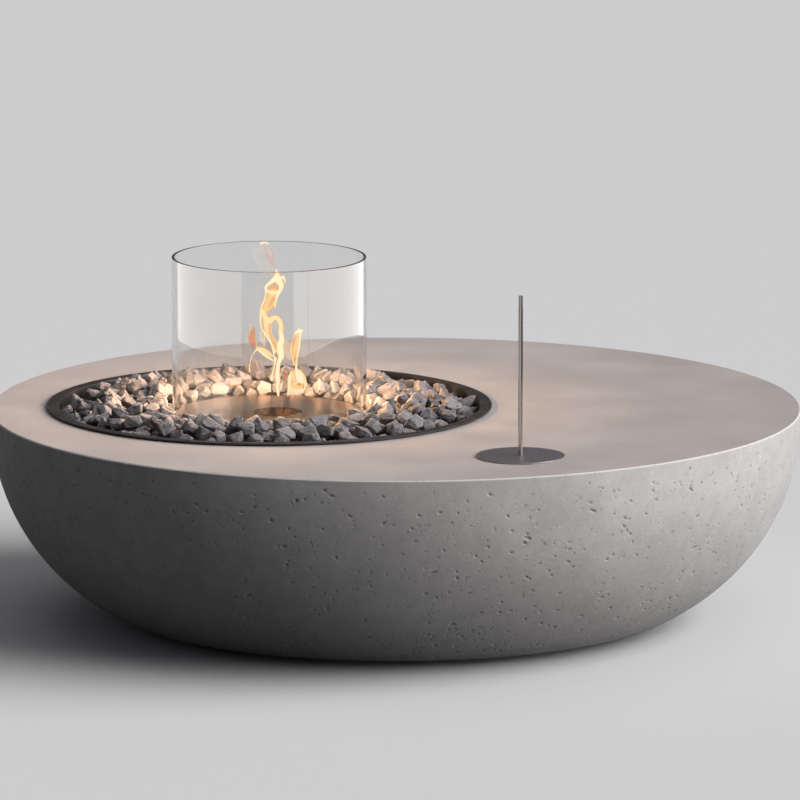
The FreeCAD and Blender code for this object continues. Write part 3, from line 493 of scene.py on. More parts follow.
class StageSettings(bpy.types.PropertyGroup):
    floor_colour: colour_property("Floor", "Paper under the table", "#DCDDE0")
    bounce_colour: colour_property("Floor bounce", "What the paper throws back at the table", "#3C3D40")
    sky_light: number_property("Room light", "Even light from all round", 0.12, 0.0, 5.0)
    key_light: number_property("Key light", "Large soft light from the right", 4.7, 0.0, 10.0)
    top_light: number_property("Top light", "Large soft light from above", 0.3, 0.0, 10.0)
    right_box: number_property("Right box", "Tall light mirrored in the glass", 3.8, 0.0, 10.0)
    left_box: number_property("Left box", "Weaker tall light on the left", 3.0, 0.0, 10.0)


# Mesh helpers

def mesh_from(bm, name):
    """A finished edit mesh as a mesh, after which the edit mesh is freed."""
    mesh = bpy.data.meshes.new(name)
    bm.to_mesh(mesh)
    bm.free()
    return mesh


def add_object(name, data):
    """Puts a mesh, a lamp or a camera into the scene."""
    added = bpy.data.objects.new(name, data)
    bpy.context.scene.collection.objects.link(added)
    return added


def mesh_object(name, mesh, body):
    """Puts a finished mesh into the scene as a piece that rides on a body."""
    piece = add_object(name, mesh)
    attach(piece, body)
    return piece


def paint(material, *nodes):
    """Gives nodes of the frame their material."""
    for node in nodes:
        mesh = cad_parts[node].data
        mesh.materials.clear()
        mesh.materials.append(material)


# Concrete bowl

def side_point(depth, offset=0.0):
    """Radius and height of the curved side at a depth under the top, drawn in by an offset."""
    fall = max(depth - RIM_LAND, 0.0)
    radius = SIDE_ARC_RADIUS - offset
    return BOWL_RADIUS - SIDE_ARC_RADIUS + math.sqrt(radius ** 2 - fall ** 2), TABLE_TOP - depth


def steps(start, end, length):
    """Values from start to end, evenly spaced about a length apart, without the last."""
    count = max(1, round(abs(end - start) / length))
    return [start + (end - start) * k / count for k in range(count)]


def side_rows():
    """Outline of the bowl from the rim down the side, under the foot and back up inside."""
    slope = math.asin(SIDE_FALL / SIDE_ARC_RADIUS)
    foot_edge = (BOWL_RADIUS - FOOT_INSET - FOOT_EDGE_RADIUS * math.tan((math.pi / 2 - slope) / 2),
                 BOWL_LOW.z + FOOT_EDGE_RADIUS)
    rows = [(BOWL_RADIUS - RIM_CHAMFER, TABLE_TOP), (BOWL_RADIUS, TABLE_TOP - RIM_CHAMFER)]
    rows += [side_point(RIM_LAND + SIDE_ARC_RADIUS * math.sin(turn))
             for turn in steps(0.0, slope, BOWL_CELL / SIDE_ARC_RADIUS)]
    for turn in steps(slope, math.pi / 2, (math.pi / 2 - slope) / FOOT_EDGE_ROWS) + [math.pi / 2]:
        rows.append((foot_edge[0] + FOOT_EDGE_RADIUS * math.cos(turn),
                     foot_edge[1] - FOOT_EDGE_RADIUS * math.sin(turn)))
    inner_floor = BOWL_LOW.z + FOOT_THICKNESS
    inner_depth = BOWL_DEPTH - FOOT_THICKNESS
    rows += [(FOOT_OPENING_RADIUS, BOWL_LOW.z), (FOOT_OPENING_RADIUS, inner_floor)]
    rows += [side_point(d, WALL_THICKNESS) for d in steps(inner_depth, SLAB_THICKNESS, 2 * BOWL_CELL)]
    rows.append(side_point(SLAB_THICKNESS, WALL_THICKNESS))
    return rows


def bowl_grid(columns):
    """The bowl's skin as one closed grid. Each column runs from the pan's hole out over the top, down
    the side, under the foot and back inside to the hole. Also gives how many rows lie on the top."""
    rows = side_rows()
    widest = BOWL_RADIUS - RIM_CHAMFER - (PAN_X + PAN_OPENING_RADIUS)
    top_shares = steps(0.0, 1.0, BOWL_CELL * TOP_CELL_STRETCH / widest)
    hole_middle = Vector((PAN_X, 0.0))
    grid = []
    for k in range(columns):
        turn = 2 * math.pi * k / columns
        out = Vector((math.cos(turn), math.sin(turn)))
        rim = out * (BOWL_RADIUS - RIM_CHAMFER)
        hole = hole_middle + (rim - hole_middle).normalized() * PAN_OPENING_RADIUS
        column = [hole.lerp(rim, s).to_3d() + UP * TABLE_TOP for s in top_shares]
        column += [Vector((out.x * r, out.y * r, z)) for r, z in rows]
        inner_top = column[-1].copy()
        hole_low = Vector((hole.x, hole.y, TABLE_TOP - SLAB_THICKNESS))
        column += [inner_top.lerp(hole_low, s) for s in UNDER_SHARES]
        grid.append(column)
    return grid, len(top_shares)


def outward(turn):
    """The level direction at a turn round the bowl."""
    return Vector((math.cos(turn), math.sin(turn), 0))


def pore_places(settings, rng):
    """Where the air pores lie on the side, the rim and the top, with the shape of each."""
    slope = math.asin(SIDE_FALL / SIDE_ARC_RADIUS)
    centre_radius = BOWL_RADIUS - SIDE_ARC_RADIUS
    pores = []
    for _ in range(settings.side_pores):
        out = outward(rng.uniform(0, 2 * math.pi))
        fall = rng.uniform(0.01, slope - 0.02)
        normal = out * math.cos(fall) - UP * math.sin(fall)
        place = out * centre_radius + UP * (TABLE_TOP - RIM_LAND) + normal * SIDE_ARC_RADIUS
        pores.append(one_pore(settings, rng, place, normal, 1.0))
    for _ in range(settings.rim_chips):
        out = outward(rng.uniform(0, 2 * math.pi))
        place = out * (BOWL_RADIUS - RIM_CHAMFER / 2) + UP * (TABLE_TOP - RIM_CHAMFER / 2)
        pores.append(one_pore(settings, rng, place, (out + UP).normalized(), RIM_PORE_SIZE))
    flange = PAN_HIGH.x - PAN_X
    count = settings.side_pores + settings.rim_chips + settings.top_pores
    while len(pores) < count:
        reach = BOWL_RADIUS * math.sqrt(rng.random()) * PORE_FREE_RIM
        turn = rng.uniform(0, 2 * math.pi)
        place = Vector((reach * math.cos(turn), reach * math.sin(turn), TABLE_TOP))
        if (place.xy - Vector((PAN_X, 0))).length > flange + PORE_FREE_RING:
            pores.append(one_pore(settings, rng, place, UP, TOP_PORE_SIZE))
    return pores


def one_pore(settings, rng, place, normal, size):
    """A pore: most are small and round, a few large or long, each lying its own way."""
    radius = settings.pore_radius * size * (LEAST_PORE + (1 - LEAST_PORE) * rng.random() ** LARGE_RARITY)
    stretch = 1 + LONGEST_PORE * rng.random() ** LONG_RARITY
    along = Vector((-normal.y, normal.x, 0)).normalized() if normal.z < 0.9 else Vector((1, 0, 0))
    across = normal.cross(along)
    lie = rng.gauss(0, LIE_SPREAD) / stretch
    first = along * math.cos(lie) + across * math.sin(lie)
    return {"place": place, "normal": normal, "radius": radius, "stretch": stretch, "along": first,
            "across": normal.cross(first), "depth": radius * rng.uniform(*PORE_DEPTHS),
            "seed": rng.uniform(0, 50)}


def search_tree(places):
    """Finds the numbers of the places that lie near another."""
    tree = KDTree(len(places))
    for k, place in enumerate(places):
        tree.insert(place, k)
    tree.balance()
    return tree


def sink_pores(bm, pores):
    """Divides the grid finely round each pore and pushes the pore in. Marks its inside with a weight that
    the concrete materials paint darker, as painted shade.
    """
    faces = list(bm.faces)
    tree = search_tree([face.calc_center_median() for face in faces])
    chosen = set()
    for pore in pores:
        reach = pore["radius"] * pore["stretch"] * CUT_REACH + BOWL_CELL * HALF_DIAGONAL
        for _, k, _ in tree.find_range(pore["place"], reach):
            if faces[k].normal.dot(pore["normal"]) > LARGEST_TURN:
                chosen.add(k)
    edges = list({edge for k in chosen for edge in faces[k].edges})
    bmesh.ops.subdivide_edges(bm, edges=edges, cuts=PORE_CUTS, use_grid_fill=True)
    painted_pore_shade = bm.verts.layers.float.new("pore")
    verts = list(bm.verts)
    tree = search_tree([vert.co for vert in verts])
    for pore in pores:
        for _, k, _ in tree.find_range(pore["place"], pore["radius"] * pore["stretch"] * PORE_REACH):
            away = verts[k].co - pore["place"]
            u = away.dot(pore["along"]) / (pore["radius"] * pore["stretch"])
            v = away.dot(pore["across"]) / pore["radius"]
            wave = noise.noise(Vector((u * RAGGED_SCALE, v * RAGGED_SCALE, pore["seed"])))
            share = math.hypot(u, v) * max(1 / PORE_REACH, 1 + RAGGED_DEPTH * wave)
            if share < 1.0:
                verts[k].co -= pore["normal"] * pore["depth"] * math.sqrt(1 - share ** 2.5)
                verts[k][painted_pore_shade] = max(verts[k][painted_pore_shade], min(1.0, 2.2 * (1 - share)))


def cast_bowl(settings):
    """The concrete bowl with its air pores, in place of the plain one in the frame."""
    columns = round(2 * math.pi * BOWL_RADIUS / BOWL_CELL)
    grid, top_rows = bowl_grid(columns)
    count = len(grid[0])
    bm = bmesh.new()
    verts = [[bm.verts.new(p) for p in column] for column in grid]
    for c in range(columns):
        here = verts[c]
        beside = verts[(c + 1) % columns]
        for r in range(count):
            below = (r + 1) % count
            face = bm.faces.new((here[r], here[below], beside[below], beside[r]))
            face.material_index = 1 if r < top_rows else 0
            face.smooth = True
    bm.normal_update()
    for edge in bm.edges:
        edge.smooth = edge.calc_face_angle(0.0) < SHARP_EDGE
    sink_pores(bm, pore_places(settings, random.Random(PORE_SEED)))
    mesh = mesh_from(bm, "bowl_with_pores")
    mesh.materials.append(cast_concrete(settings))
    mesh.materials.append(ground_concrete(settings))
    piece = mesh_object("bowl_with_pores", mesh, "table")
    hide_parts("concrete_bowl")


# Stones

def stone_cage(node, rng):
    """The frame's faceted stones as clean closed blocks. Each has its own shade and edge sharpness."""
    bm = bmesh.new()
    bm.from_mesh(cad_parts[node].data)
    bmesh.ops.remove_doubles(bm, verts=bm.verts, dist=ONE_POINT)
    bmesh.ops.dissolve_limit(bm, angle_limit=ONE_PLANE, verts=bm.verts, edges=bm.edges)
    tone = bm.verts.layers.float.new("tone")
    crease = bm.edges.layers.float.new("crease_edge")
    seen = set()
    for start in bm.verts:
        if start in seen:
            continue
        shade = rng.random()
        sharp = rng.uniform(*STONE_SHARPNESS)
        stack = [start]
        seen.add(start)
        while stack:
            vert = stack.pop()
            vert[tone] = shade
            for edge in vert.link_edges:
                edge[crease] = min(1.0, max(0.0, rng.gauss(sharp, EDGE_SPREAD)))
                other = edge.other_vert(vert)
                if other not in seen:
                    seen.add(other)
                    stack.append(other)
    return mesh_from(bm, node + "_cage")


def rounded(mesh):
    """A mesh after subdivision, as a new mesh."""
    cage = add_object("cage", mesh)
    modifier = cage.modifiers.new("round", "SUBSURF")
    modifier.levels = modifier.render_levels = STONE_LEVELS
    evaluated = cage.evaluated_get(bpy.context.evaluated_depsgraph_get())
    made = bpy.data.meshes.new_from_object(evaluated)
    bpy.data.objects.remove(cage)
    return made


def roughen(mesh, depth):
    """Chips the surface inwards with noise and marks how worn each place is, from how far it sticks out."""
    bm = bmesh.new()
    bm.from_mesh(mesh)
    bm.normal_update()
    worn = bm.verts.layers.float.new("wear")
    moves = []
    for vert in bm.verts:
        rough = noise.fractal(vert.co * CHIP_SCALE, 0.8, 2.2, 4)
        moves.append(vert.normal * -depth * (0.5 + 0.5 * rough))
    for vert, move in zip(bm.verts, moves):
        vert.co += move
    for vert in bm.verts:
        lean = 0.0
        for edge in vert.link_edges:
            along = edge.other_vert(vert).co - vert.co
            lean -= along.normalized().dot(vert.normal)
        vert[worn] = min(1.0, max(0.0, WEAR_GAIN * lean / len(vert.link_edges) - WEAR_START))
    for face in bm.faces:
        face.smooth = True
    bm.to_mesh(mesh)
    bm.free()


def split_stones(settings):
    """Basalt stones, band by band, each rounded and chipped inside its block in the frame."""
    material = split_basalt(settings)
    rng = random.Random(STONE_SEED)
    for band in ("inner", "middle", "outer"):
        node = "stones_" + band
        mesh = rounded(stone_cage(node, rng))
        mesh.name = "basalt_" + band
        roughen(mesh, settings.roughening)
        mesh.materials.clear()
        mesh.materials.append(material)
        piece = mesh_object("basalt_" + band, mesh, "table")
        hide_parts(node)


# Flame: strands of burning gas. Each has its heat, then its places across, up and back from the mouth's
# middle at the table top, with the strand's radius, in mm. Cool strands thin out what they cross, however
# far back it is. A turned sheet goes back by so much for each mm across from its pivot.

FLAME_SHEETS = {
    "flame_main": (
        # head, and the two branches round its hollow
        (1.0, (-3, 258, 14, 0.5), (-2, 251, 13, 2.6), (-1, 244, 12, 5.6), (1, 238, 11, 6.6),
         (6, 229, 10, 5.0), (5, 220, 9, 3.8), (0, 210, 8, 2.6), (-3, 200, 7, 1.5), (-5, 190, 6, 1.4),
         (-5, 184, 6, 0.6)),
        (1.0, (-1, 246, 12, 4.6), (-8, 238, 11, 4.6), (-17, 230, 10, 2.8), (-22, 224, 9, 2.6),
         (-22, 213, 8, 1.4), (-25, 200, 7, 1.4), (-30, 188, 6, 1.5), (-32, 174, 5, 1.4),
         (-32, 160, 4, 1.4), (-29, 147, 4, 1.4), (-22, 134, 4, 1.4), (-14, 121, 3, 1.4),
         (-9, 108, 3, 1.3), (-7, 94, 2, 1.3), (-5, 82, 2, 1.4)),
        (1.0, (4, 241, 11, 3.4), (10, 243, 10, 2.8), (13, 237, 10, 1.5), (14, 230, 10, 0.5)),
        # golden body under the head, down to the arch
        (0.3, (-16, 227, 10, 5.0), (-9, 227, 10, 6.5), (-2, 225, 10, 5.0)),
        (0.84, (-19, 217, 9, 3.0), (-10, 214, 9, 4.4), (0, 216, 9, 3.6)),
        (0.62, (-9, 214, 9, 9.0), (-11, 207, 9, 9.5), (-14, 198, 8, 10.0), (-18, 190, 7, 9.5),
         (-24, 181, 6, 7.0), (-26, 171, 5, 6.5), (-26, 158, 4, 6.0), (-22, 146, 4, 4.5),
         (-19, 134, 4, 3.0)),
        # arch on the right, down into the trunk
        (0.8, (-27, 180, 6, 3.0), (-24, 168, 5, 6.0), (-16, 162, 5, 6.6), (-7, 167, 5, 4.8),
         (0, 165, 4, 5.0), (5, 156, 4, 4.4), (5, 142, 3, 4.6), (7, 130, 2, 5.2)),
        (0.95, (7, 136, 2, 3.2), (7, 125, 1, 5.4), (4, 115, 1, 6.6), (5, 104, 0, 6.8), (6, 94, 0, 5.4),
         (2, 84, 0, 3.8), (0, 72, 0, 3.6), (-1, 60, 0, 4.2), (0, 49, 0, 4.2), (-1, 38, 0, 3.2),
         (0, 27, 0, 2.8), (1, 19, 0, 1.1)),
        # thin strands inside the arch and left of it
        (0.78, (-29, 176, 5, 1.4), (-25, 160, 5, 1.5), (-24, 144, 4, 1.4), (-25, 128, 4, 1.1),
         (-25, 112, 3, 0.8)),
        (0.82, (-21, 158, 4, 2.6), (-18, 136, 4, 1.4), (-12, 119, 3, 1.4), (-5, 103, 2, 2.4)),
        (0.6, (-10, 152, 5, 0.8), (-12, 142, 5, 1.1), (-9, 132, 4, 1.1), (-3, 121, 3, 1.7),
         (3, 112, 2, 3.0)),
        (0.42, (-16, 158, 4, 7.0), (-17, 146, 4, 5.0), (-14, 132, 4, 4.5), (-9, 118, 3, 5.0),
         (-4, 104, 2, 5.0)),
        # second root of the trunk
        (0.88, (-3, 92, 2, 1.4), (-6, 80, 3, 1.4), (-8, 70, 3, 1.4), (-11, 60, 4, 1.6), (-12, 53, 4, 3.2),
         (-11, 48, 4, 0.9)),
        # spark beside the arch
        (0.6, (10, 153, 6, 0.5), (11, 147, 6, 1.4), (10, 140, 6, 0.5)),
    ),
    "flame_right": (
        (0.9, (50, 140, 3, 0.5), (46, 142, 3, 1.2), (40, 143, 2, 2.8), (34, 139, 2, 2.6)),
        (0.72, (36, 141, 2, 3.0), (30, 132, 1, 1.5), (25, 118, 0, 1.3), (24, 104, -1, 1.3),
         (27, 90, -1, 1.4), (30, 78, -2, 1.7)),
        (0.84, (42, 141, 2, 2.6), (41, 128, 1, 1.5), (40, 113, 0, 1.4), (37, 101, -1, 1.4),
         (35, 88, -2, 1.4), (34, 76, -2, 2.4)),
        (0.5, (37, 136, 2, 4.5), (34, 126, 1, 7.0), (32, 113, 0, 9.0), (31, 101, -1, 8.0),
         (31, 90, -2, 5.0), (32, 80, -2, 3.0)),
        # broad foot and its two legs
        (0.92, (33, 76, -3, 1.6), (35, 68, -3, 3.6), (38, 60, -3, 6.0), (41, 53, -3, 8.0),
         (42, 49, -3, 7.5)),
        (0.66, (30, 66, -3, 2.5), (29, 58, -3, 4.5), (29, 51, -3, 4.5)),
        (0.8, (41, 66, -3, 3.0), (47, 56, -3, 4.0), (50, 46, -4, 3.4), (51, 37, -4, 2.6),
         (48, 29, -4, 0.9)),
        (0.86, (25, 66, -3, 1.5), (22, 54, -4, 3.6), (21, 42, -4, 3.4), (20, 31, -4, 2.8),
         (18, 20, -4, 1.2)),
        (0.5, (27, 41, -4, 4.0), (34, 38, -4, 5.0), (44, 40, -4, 5.0)),
    ),
    "flame_left": (
        (0.9, (-9, 86, 1, 1.4), (-15, 91, 0, 2.4), (-23, 96, -2, 2.8), (-31, 103, -3, 2.8),
         (-39, 107, -5, 1.7), (-46, 99, -7, 1.0), (-51, 88, -8, 0.9), (-53, 76, -9, 1.0),
         (-53, 69, -9, 1.7), (-52, 64, -9, 0.5)),
        (0.74, (-10, 94, 0, 1.5), (-17, 100, -1, 4.0), (-25, 104, -2, 5.5), (-33, 108, -4, 4.5),
         (-39, 110, -5, 2.4)),
        (0.5, (-41, 138, -5, 0.6), (-41, 124, -5, 1.1), (-40, 112, -5, 1.2)),
    ),
    "flame_tip": (
        (0.85, (-50, 156, -6, 0.5), (-50, 150, -6, 1.2), (-52, 142, -6, 1.0), (-54, 132, -6, 0.6)),
        (0.42, (-50, 153, -6, 0.8), (-51, 144, -6, 2.4), (-52, 134, -6, 3.6), (-51, 126, -6, 3.8)),
        (0.24, (-51, 128, -6, 3.8), (-50, 119, -6, 3.8), (-47, 111, -6, 2.4)),
        (0.42, (-45, 151, -5, 0.6), (-45, 143, -5, 1.8), (-46, 133, -5, 2.8), (-45, 124, -5, 3.0),
         (-43, 116, -5, 1.8)),
        (0.3, (14, 66, 4, 0.8), (13, 57, 4, 3.0), (14, 47, 4, 1.0)),
    ),
    # thin gas beside the arch, between the tongues, between the roots and under the foot
    "flame_veil": (
        (0.18, (-30, 148, 9, 2.0), (-31, 138, 9, 3.0), (-30, 127, 9, 3.5), (-26, 117, 9, 3.0)),
        (0.22, (13, 121, 6, 5.0), (18, 113, 6, 8.0), (19, 104, 6, 8.5), (20, 95, 6, 5.0),
         (21, 89, 6, 2.0)),
        (0.2, (-5, 88, 7, 4.0), (-5, 76, 7, 5.0), (-5, 62, 7, 5.5), (-5, 48, 7, 5.5), (-3, 36, 7, 4.0),
         (-1, 27, 7, 2.0)),
        (0.4, (30, 39, 5, 7.0), (34, 33, 5, 8.0), (40, 31, 5, 7.0)),
    ),
    "flame_wisp": (
        (0.16, (-2, 260, 14, 1.0), (-7, 267, 26, 1.6), (-11, 277, 44, 2.0), (-10, 288, 64, 1.6),
         (-15, 299, 86, 1.2), (-20, 307, 108, 1.2)),
        (0.13, (-8, 264, 26, 1.6), (-15, 275, 44, 3.6), (-19, 287, 66, 3.8), (-25, 300, 92, 2.6)),
        (0.9, (-18, 306, 110, 0.8), (-23, 309, 114, 1.6), (-30, 309, 114, 1.8), (-35, 306, 112, 0.8)),
    ),
}
COOL_STRANDS = {
    "flame_main": (
        (0.45, (-8, 205, 1.8), (-11, 198, 3.0), (-15, 189, 2.0)),
        (0.92, (-12, 179, 3.2), (-12, 176, 4.4), (-12, 174, 4.0)),
        (0.45, (-28, 166, 1.6), (-28, 152, 1.8), (-25, 142, 1.4)),
        (0.5, (-4, 150, 2.4), (-4, 140, 2.4), (0, 131, 1.6)),
    ),
    "flame_right": (
        (0.8, (28, 45, 1.8), (31, 42.5, 2.6), (36, 44, 1.8), (40, 42.5, 2.4)),
        (0.5, (33, 133, 2.2), (30, 124, 3.0), (29, 116, 1.8)),
        (0.4, (34, 106, 1.4), (33, 96, 1.6), (31, 86, 1.2)),
    ),
}
SHEET_TURNS = {"flame_main": (0.5, 0), "flame_right": (-0.9, 20), "flame_left": (-0.8, -10),
               "flame_tip": (-0.8, -10)}
FLAME_SINK = 0.18          # how much lower a place is set for each mm back, to look as high from the front
FLAME_CELL = 0.7           # mm
FEATHER = 1.4              # where a strand fades out, as a share of its radius
FLAME_ROUNDNESS = 0.7      # how deep a strand is, as a share of its radius
THINNEST_STRAND = 0.3      # radius in mm
LEAST_HEAT = 0.05
FLAME_SMOOTHINGS = 4
FLAME_SWAY = 4             # how far the flame leans forward and back, in mm
SWAY_HEIGHT = 23           # and over what height, in mm for a radian
FLAME_LAMPS = ((0.55, 70), (0.45, 170))   # share of the glow, and mm over the table top
FLAME_LAMP_RADIUS = 25 * MM


def smooth_path(points, spacing):
    """Places about a spacing apart on a smooth curve through the given ones, each with its radius last."""
    padded = (points[0], *points, points[-1])
    path = []
    for a, b, c, d in zip(padded, padded[1:], padded[2:], padded[3:]):
        count = max(1, round(math.dist(b[:-1], c[:-1]) / spacing))
        for k in range(count):
            t = k / count
            path.append([0.5 * (2 * q + (r - p) * t + (2 * p - 5 * q + 4 * r - s) * t ** 2
                                + (3 * q - p - 3 * r + s) * t ** 3)
                         for p, q, r, s in zip(a, b, c, d)])
    return path


def cells_near(across, up, radius):
    """The grid cells that a round spot reaches, with how strongly it covers each."""
    reach = radius * FEATHER
    for i in range(math.ceil((across - reach) / FLAME_CELL), math.floor((across + reach) / FLAME_CELL) + 1):
        for k in range(math.ceil((up - reach) / FLAME_CELL), math.floor((up + reach) / FLAME_CELL) + 1):
            share = math.hypot(i * FLAME_CELL - across, k * FLAME_CELL - up) / radius
            if share < FEATHER:
                cover = min(1.0, (FEATHER - share) / (2 * FEATHER - 2))
                yield (i, k), cover * cover * (3 - 2 * cover), share


def heat_map(strands, cool_strands):
    """Heat, place back and half depth of the flame in each cell of an upright grid."""
    cells = {}
    for heat, *points in strands:
        for across, up, back, radius in smooth_path(points, FLAME_CELL):
            radius = max(radius, THINNEST_STRAND)
            for cell, cover, share in cells_near(across, up, radius):
                if heat * cover > cells.get(cell, (0.0,))[0]:
                    depth = FLAME_ROUNDNESS * radius * math.sqrt(1 - (share / FEATHER) ** 2)
                    cells[cell] = (heat * cover, back, depth)
    cooled = {}
    for strength, *points in cool_strands:
        for across, up, radius in smooth_path(points, FLAME_CELL):
            for cell, cover, share in cells_near(across, up, radius):
                cooled[cell] = max(cooled.get(cell, 0.0), strength * cover)
    cells = {cell: (heat * (1 - cooled.get(cell, 0.0)), back, depth)
             for cell, (heat, back, depth) in cells.items()}
    return {cell: value for cell, value in cells.items() if value[0] > LEAST_HEAT}


def around_cell(cell):
    """A cell and its eight neighbours."""
    return [(cell[0] + i, cell[1] + k) for i in (-1, 0, 1) for k in (-1, 0, 1)]


def smoothed_map(cells):
    """Evens out the place back and the depth between neighbours."""
    made = {}
    for cell, value in cells.items():
        near = [cells[other] for other in around_cell(cell) if other in cells]
        made[cell] = (value[0], sum(v[1] for v in near) / len(near), sum(v[2] for v in near) / len(near))
    return made


def flame_sheet(name):
    """A lens-shaped sheet of flame, closed round its edge. Each vertex knows its heat."""
    cells = heat_map(FLAME_SHEETS[name], COOL_STRANDS.get(name, ()))
    turn, pivot = SHEET_TURNS.get(name, (0, 0))
    for _ in range(FLAME_SMOOTHINGS):
        cells = smoothed_map(cells)
    bm = bmesh.new()
    heat_layer = bm.verts.layers.float.new("warmth")
    front = {}
    rear = {}
    for (i, k), (heat, back, depth) in cells.items():
        up = k * FLAME_CELL
        back += FLAME_SWAY * math.sin(up / SWAY_HEIGHT) + turn * (i * FLAME_CELL - pivot)
        up -= FLAME_SINK * back
        edge = any(other not in cells for other in around_cell((i, k)))
        for skin, side in ((front, -1), (rear, 1)):
            if edge and side == 1:
                rear[(i, k)] = front[(i, k)]
                continue
            y = back if edge else back + side * depth
            vert = bm.verts.new((MOUTH_X + i * FLAME_CELL * MM, y * MM, TABLE_TOP + up * MM))
            vert[heat_layer] = heat
            skin[(i, k)] = vert
    for i, k in cells:
        corners = [(i, k), (i + 1, k), (i + 1, k + 1), (i, k + 1)]
        if all(corner in cells for corner in corners):
            near = [front[corner] for corner in corners]
            far = [rear[corner] for corner in reversed(corners)]
            bm.faces.new(near).smooth = True
            if set(near) != set(far):
                bm.faces.new(far).smooth = True
    bmesh.ops.delete(bm, geom=[vert for vert in bm.verts if not vert.link_faces], context="VERTS")
    return mesh_from(bm, name)


def light_flame(settings):
    """The flame's sheets and the warm light that they throw."""
    golden = burning_alcohol(settings, "alcohol_flame", settings.edge_colour, settings.body_colour)
    sooty = burning_alcohol(settings, "sooty_orange_flame", settings.cool_colour, settings.edge_colour)
    thin = burning_alcohol(settings, "thin_burning_gas", settings.veil_colour, settings.veil_colour)
    materials = {"flame_tip": sooty, "flame_veil": thin}
    for name in FLAME_SHEETS:
        mesh = flame_sheet(name)
        mesh.materials.append(materials.get(name, golden))
        piece = add_object(name, mesh)
        piece.visible_shadow = False
        piece.visible_diffuse = False
        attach(piece, "burner")
    for share, up in FLAME_LAMPS:
        lamp = bpy.data.lights.new("flame_glow", "POINT")
        lamp.energy = settings.glow * share
        lamp.color = linear(hex_of(settings.glow_colour))[:3]
        lamp.shadow_soft_size = FLAME_LAMP_RADIUS
        holder = add_object("flame_glow", lamp)
        holder.location = (MOUTH_X, 0, TABLE_TOP + up * MM)
        holder.visible_glossy = False
        holder.visible_transmission = False


# Frame nodes that keep their own shape

def dress_steel(settings):
    """The pan, the steelwork under it, and every screw, seal and glide."""
    paint(powder_coat(settings), "fire_pan", "stone_shelf", "shelf_legs", "burner_stand", "base_plate")
    paint(zinc_plate(), "base_inserts", "pan_brackets")
    paint(stainless_fastener(), "base_screws", "bracket_bolts", "bracket_nuts", "stand_bolts",
          "stand_nuts", "plate_studs", "jacket_nuts", "snuffer_screw")
    paint(moulded_rubber("moulded_rubber", "#161616", "#2B2A29"), "floor_glides")
    paint(moulded_rubber("heat_proof_seal", "#1B1A1A", "#2F2D2C"),
          "pan_gasket", "cup_gasket", "glass_gasket")


def dress_burner(settings):
    """The burner's sheet, brown where the flame has been, its mouth painted dark as shade, and its wool."""
    paint(brushed_stainless(settings), "burner_plate", "burner_jacket")
    paint(sooted_steel_and_mouth_shade(), "mouth_ring", "fuel_cup", "wool_screen")
    paint(ceramic_fibre(), "ceramic_wool")


def dress_snuffer(settings):
    """The snuffer's dark disc and bright rod."""
    paint(blackened_steel(settings), "snuffer_disc")
    paint(ground_bar(settings), "snuffer_rod")


# Studio

def sun(name, strength, colour, azimuth, elevation, spread):
    """A large soft light. Azimuth is where it stands, in degrees from +X."""
    lamp = bpy.data.lights.new(name, "SUN")
    lamp.energy = strength
    lamp.color = linear(colour)[:3]
    lamp.angle = math.radians(spread)
    holder = add_object(name, lamp)
    turn, rise = math.radians(azimuth), math.radians(elevation)
    towards = Vector((math.cos(turn) * math.cos(rise), math.sin(turn) * math.cos(rise), math.sin(rise)))
    holder.rotation_mode = "QUATERNION"
    holder.rotation_quaternion = towards.to_track_quat("Z", "Y")


def soft_box(name, start, end, radiance, receivers):
    """A curved light, from one bearing round the glass to another, that only the glass mirrors."""
    bm = bmesh.new()
    columns = []
    for bearing in steps(start, end, SOFT_BOX_STEP) + [end]:
        turn = math.radians(bearing)
        x, y = PAN_X + SOFT_BOX_REACH * math.cos(turn), SOFT_BOX_REACH * math.sin(turn)
        columns.append([bm.verts.new((x, y, z)) for z in SOFT_BOX_HEIGHTS])
    for a, b in zip(columns, columns[1:]):
        bm.faces.new((a[0], a[1], b[1], b[0]))
    mesh = mesh_from(bm, name)
    material, tree = new_material(name)
    glow = add_node(tree, "Emission", {"Color": "#FFF9F2", "Strength": radiance})
    mesh.materials.append(surfaced(material, glow))
    box = add_object(name, mesh)
    for kind in ("camera", "diffuse", "transmission", "shadow", "volume_scatter"):
        setattr(box, "visible_" + kind, False)
    box.light_linking.receiver_collection = receivers


def set_studio(settings):
    """Pale floor, even room light, two large soft lights, two tall ones for the glass and the camera."""
    scene = bpy.context.scene
    scene.view_settings.view_transform = "Standard"
    bm = bmesh.new()
    bmesh.ops.create_circle(bm, cap_ends=True, segments=FLOOR_SIDES, radius=FLOOR_RADIUS)
    mesh = mesh_from(bm, "studio_floor")
    mesh.materials.append(studio_floor(settings))
    floor = add_object("studio_floor", mesh)
    world = bpy.data.worlds.new("room_light")
    world.use_nodes = True
    room = world.node_tree.nodes["Background"]
    room.inputs["Color"].default_value = linear("#E8EBF2")
    room.inputs["Strength"].default_value = settings.sky_light
    scene.world = world
    sun("key_light", settings.key_light, "#FFFCFA", azimuth=-12, elevation=27, spread=60)
    sun("top_light", settings.top_light, "#FFFAF6", azimuth=100, elevation=75, spread=60)
    receivers = bpy.data.collections.new("mirrored_in_glass")
    receivers.objects.link(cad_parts["glass_screen"])
    soft_box("soft_box_right", -62, 54, settings.right_box, receivers)
    soft_box("soft_box_left", 138, 240, settings.left_box, receivers)
    lens = bpy.data.cameras.new("camera")
    lens.lens = CAMERA_LENS
    lens.sensor_width = SENSOR_WIDTH
    lens.clip_end = VIEW_DEPTH
    camera = add_object("camera", lens)
    camera.location = CAMERA_PLACE
    camera.rotation_euler = (math.radians(90 - CAMERA_DOWN), 0, 0)
    scene.camera = camera


# Operators, panel and registration

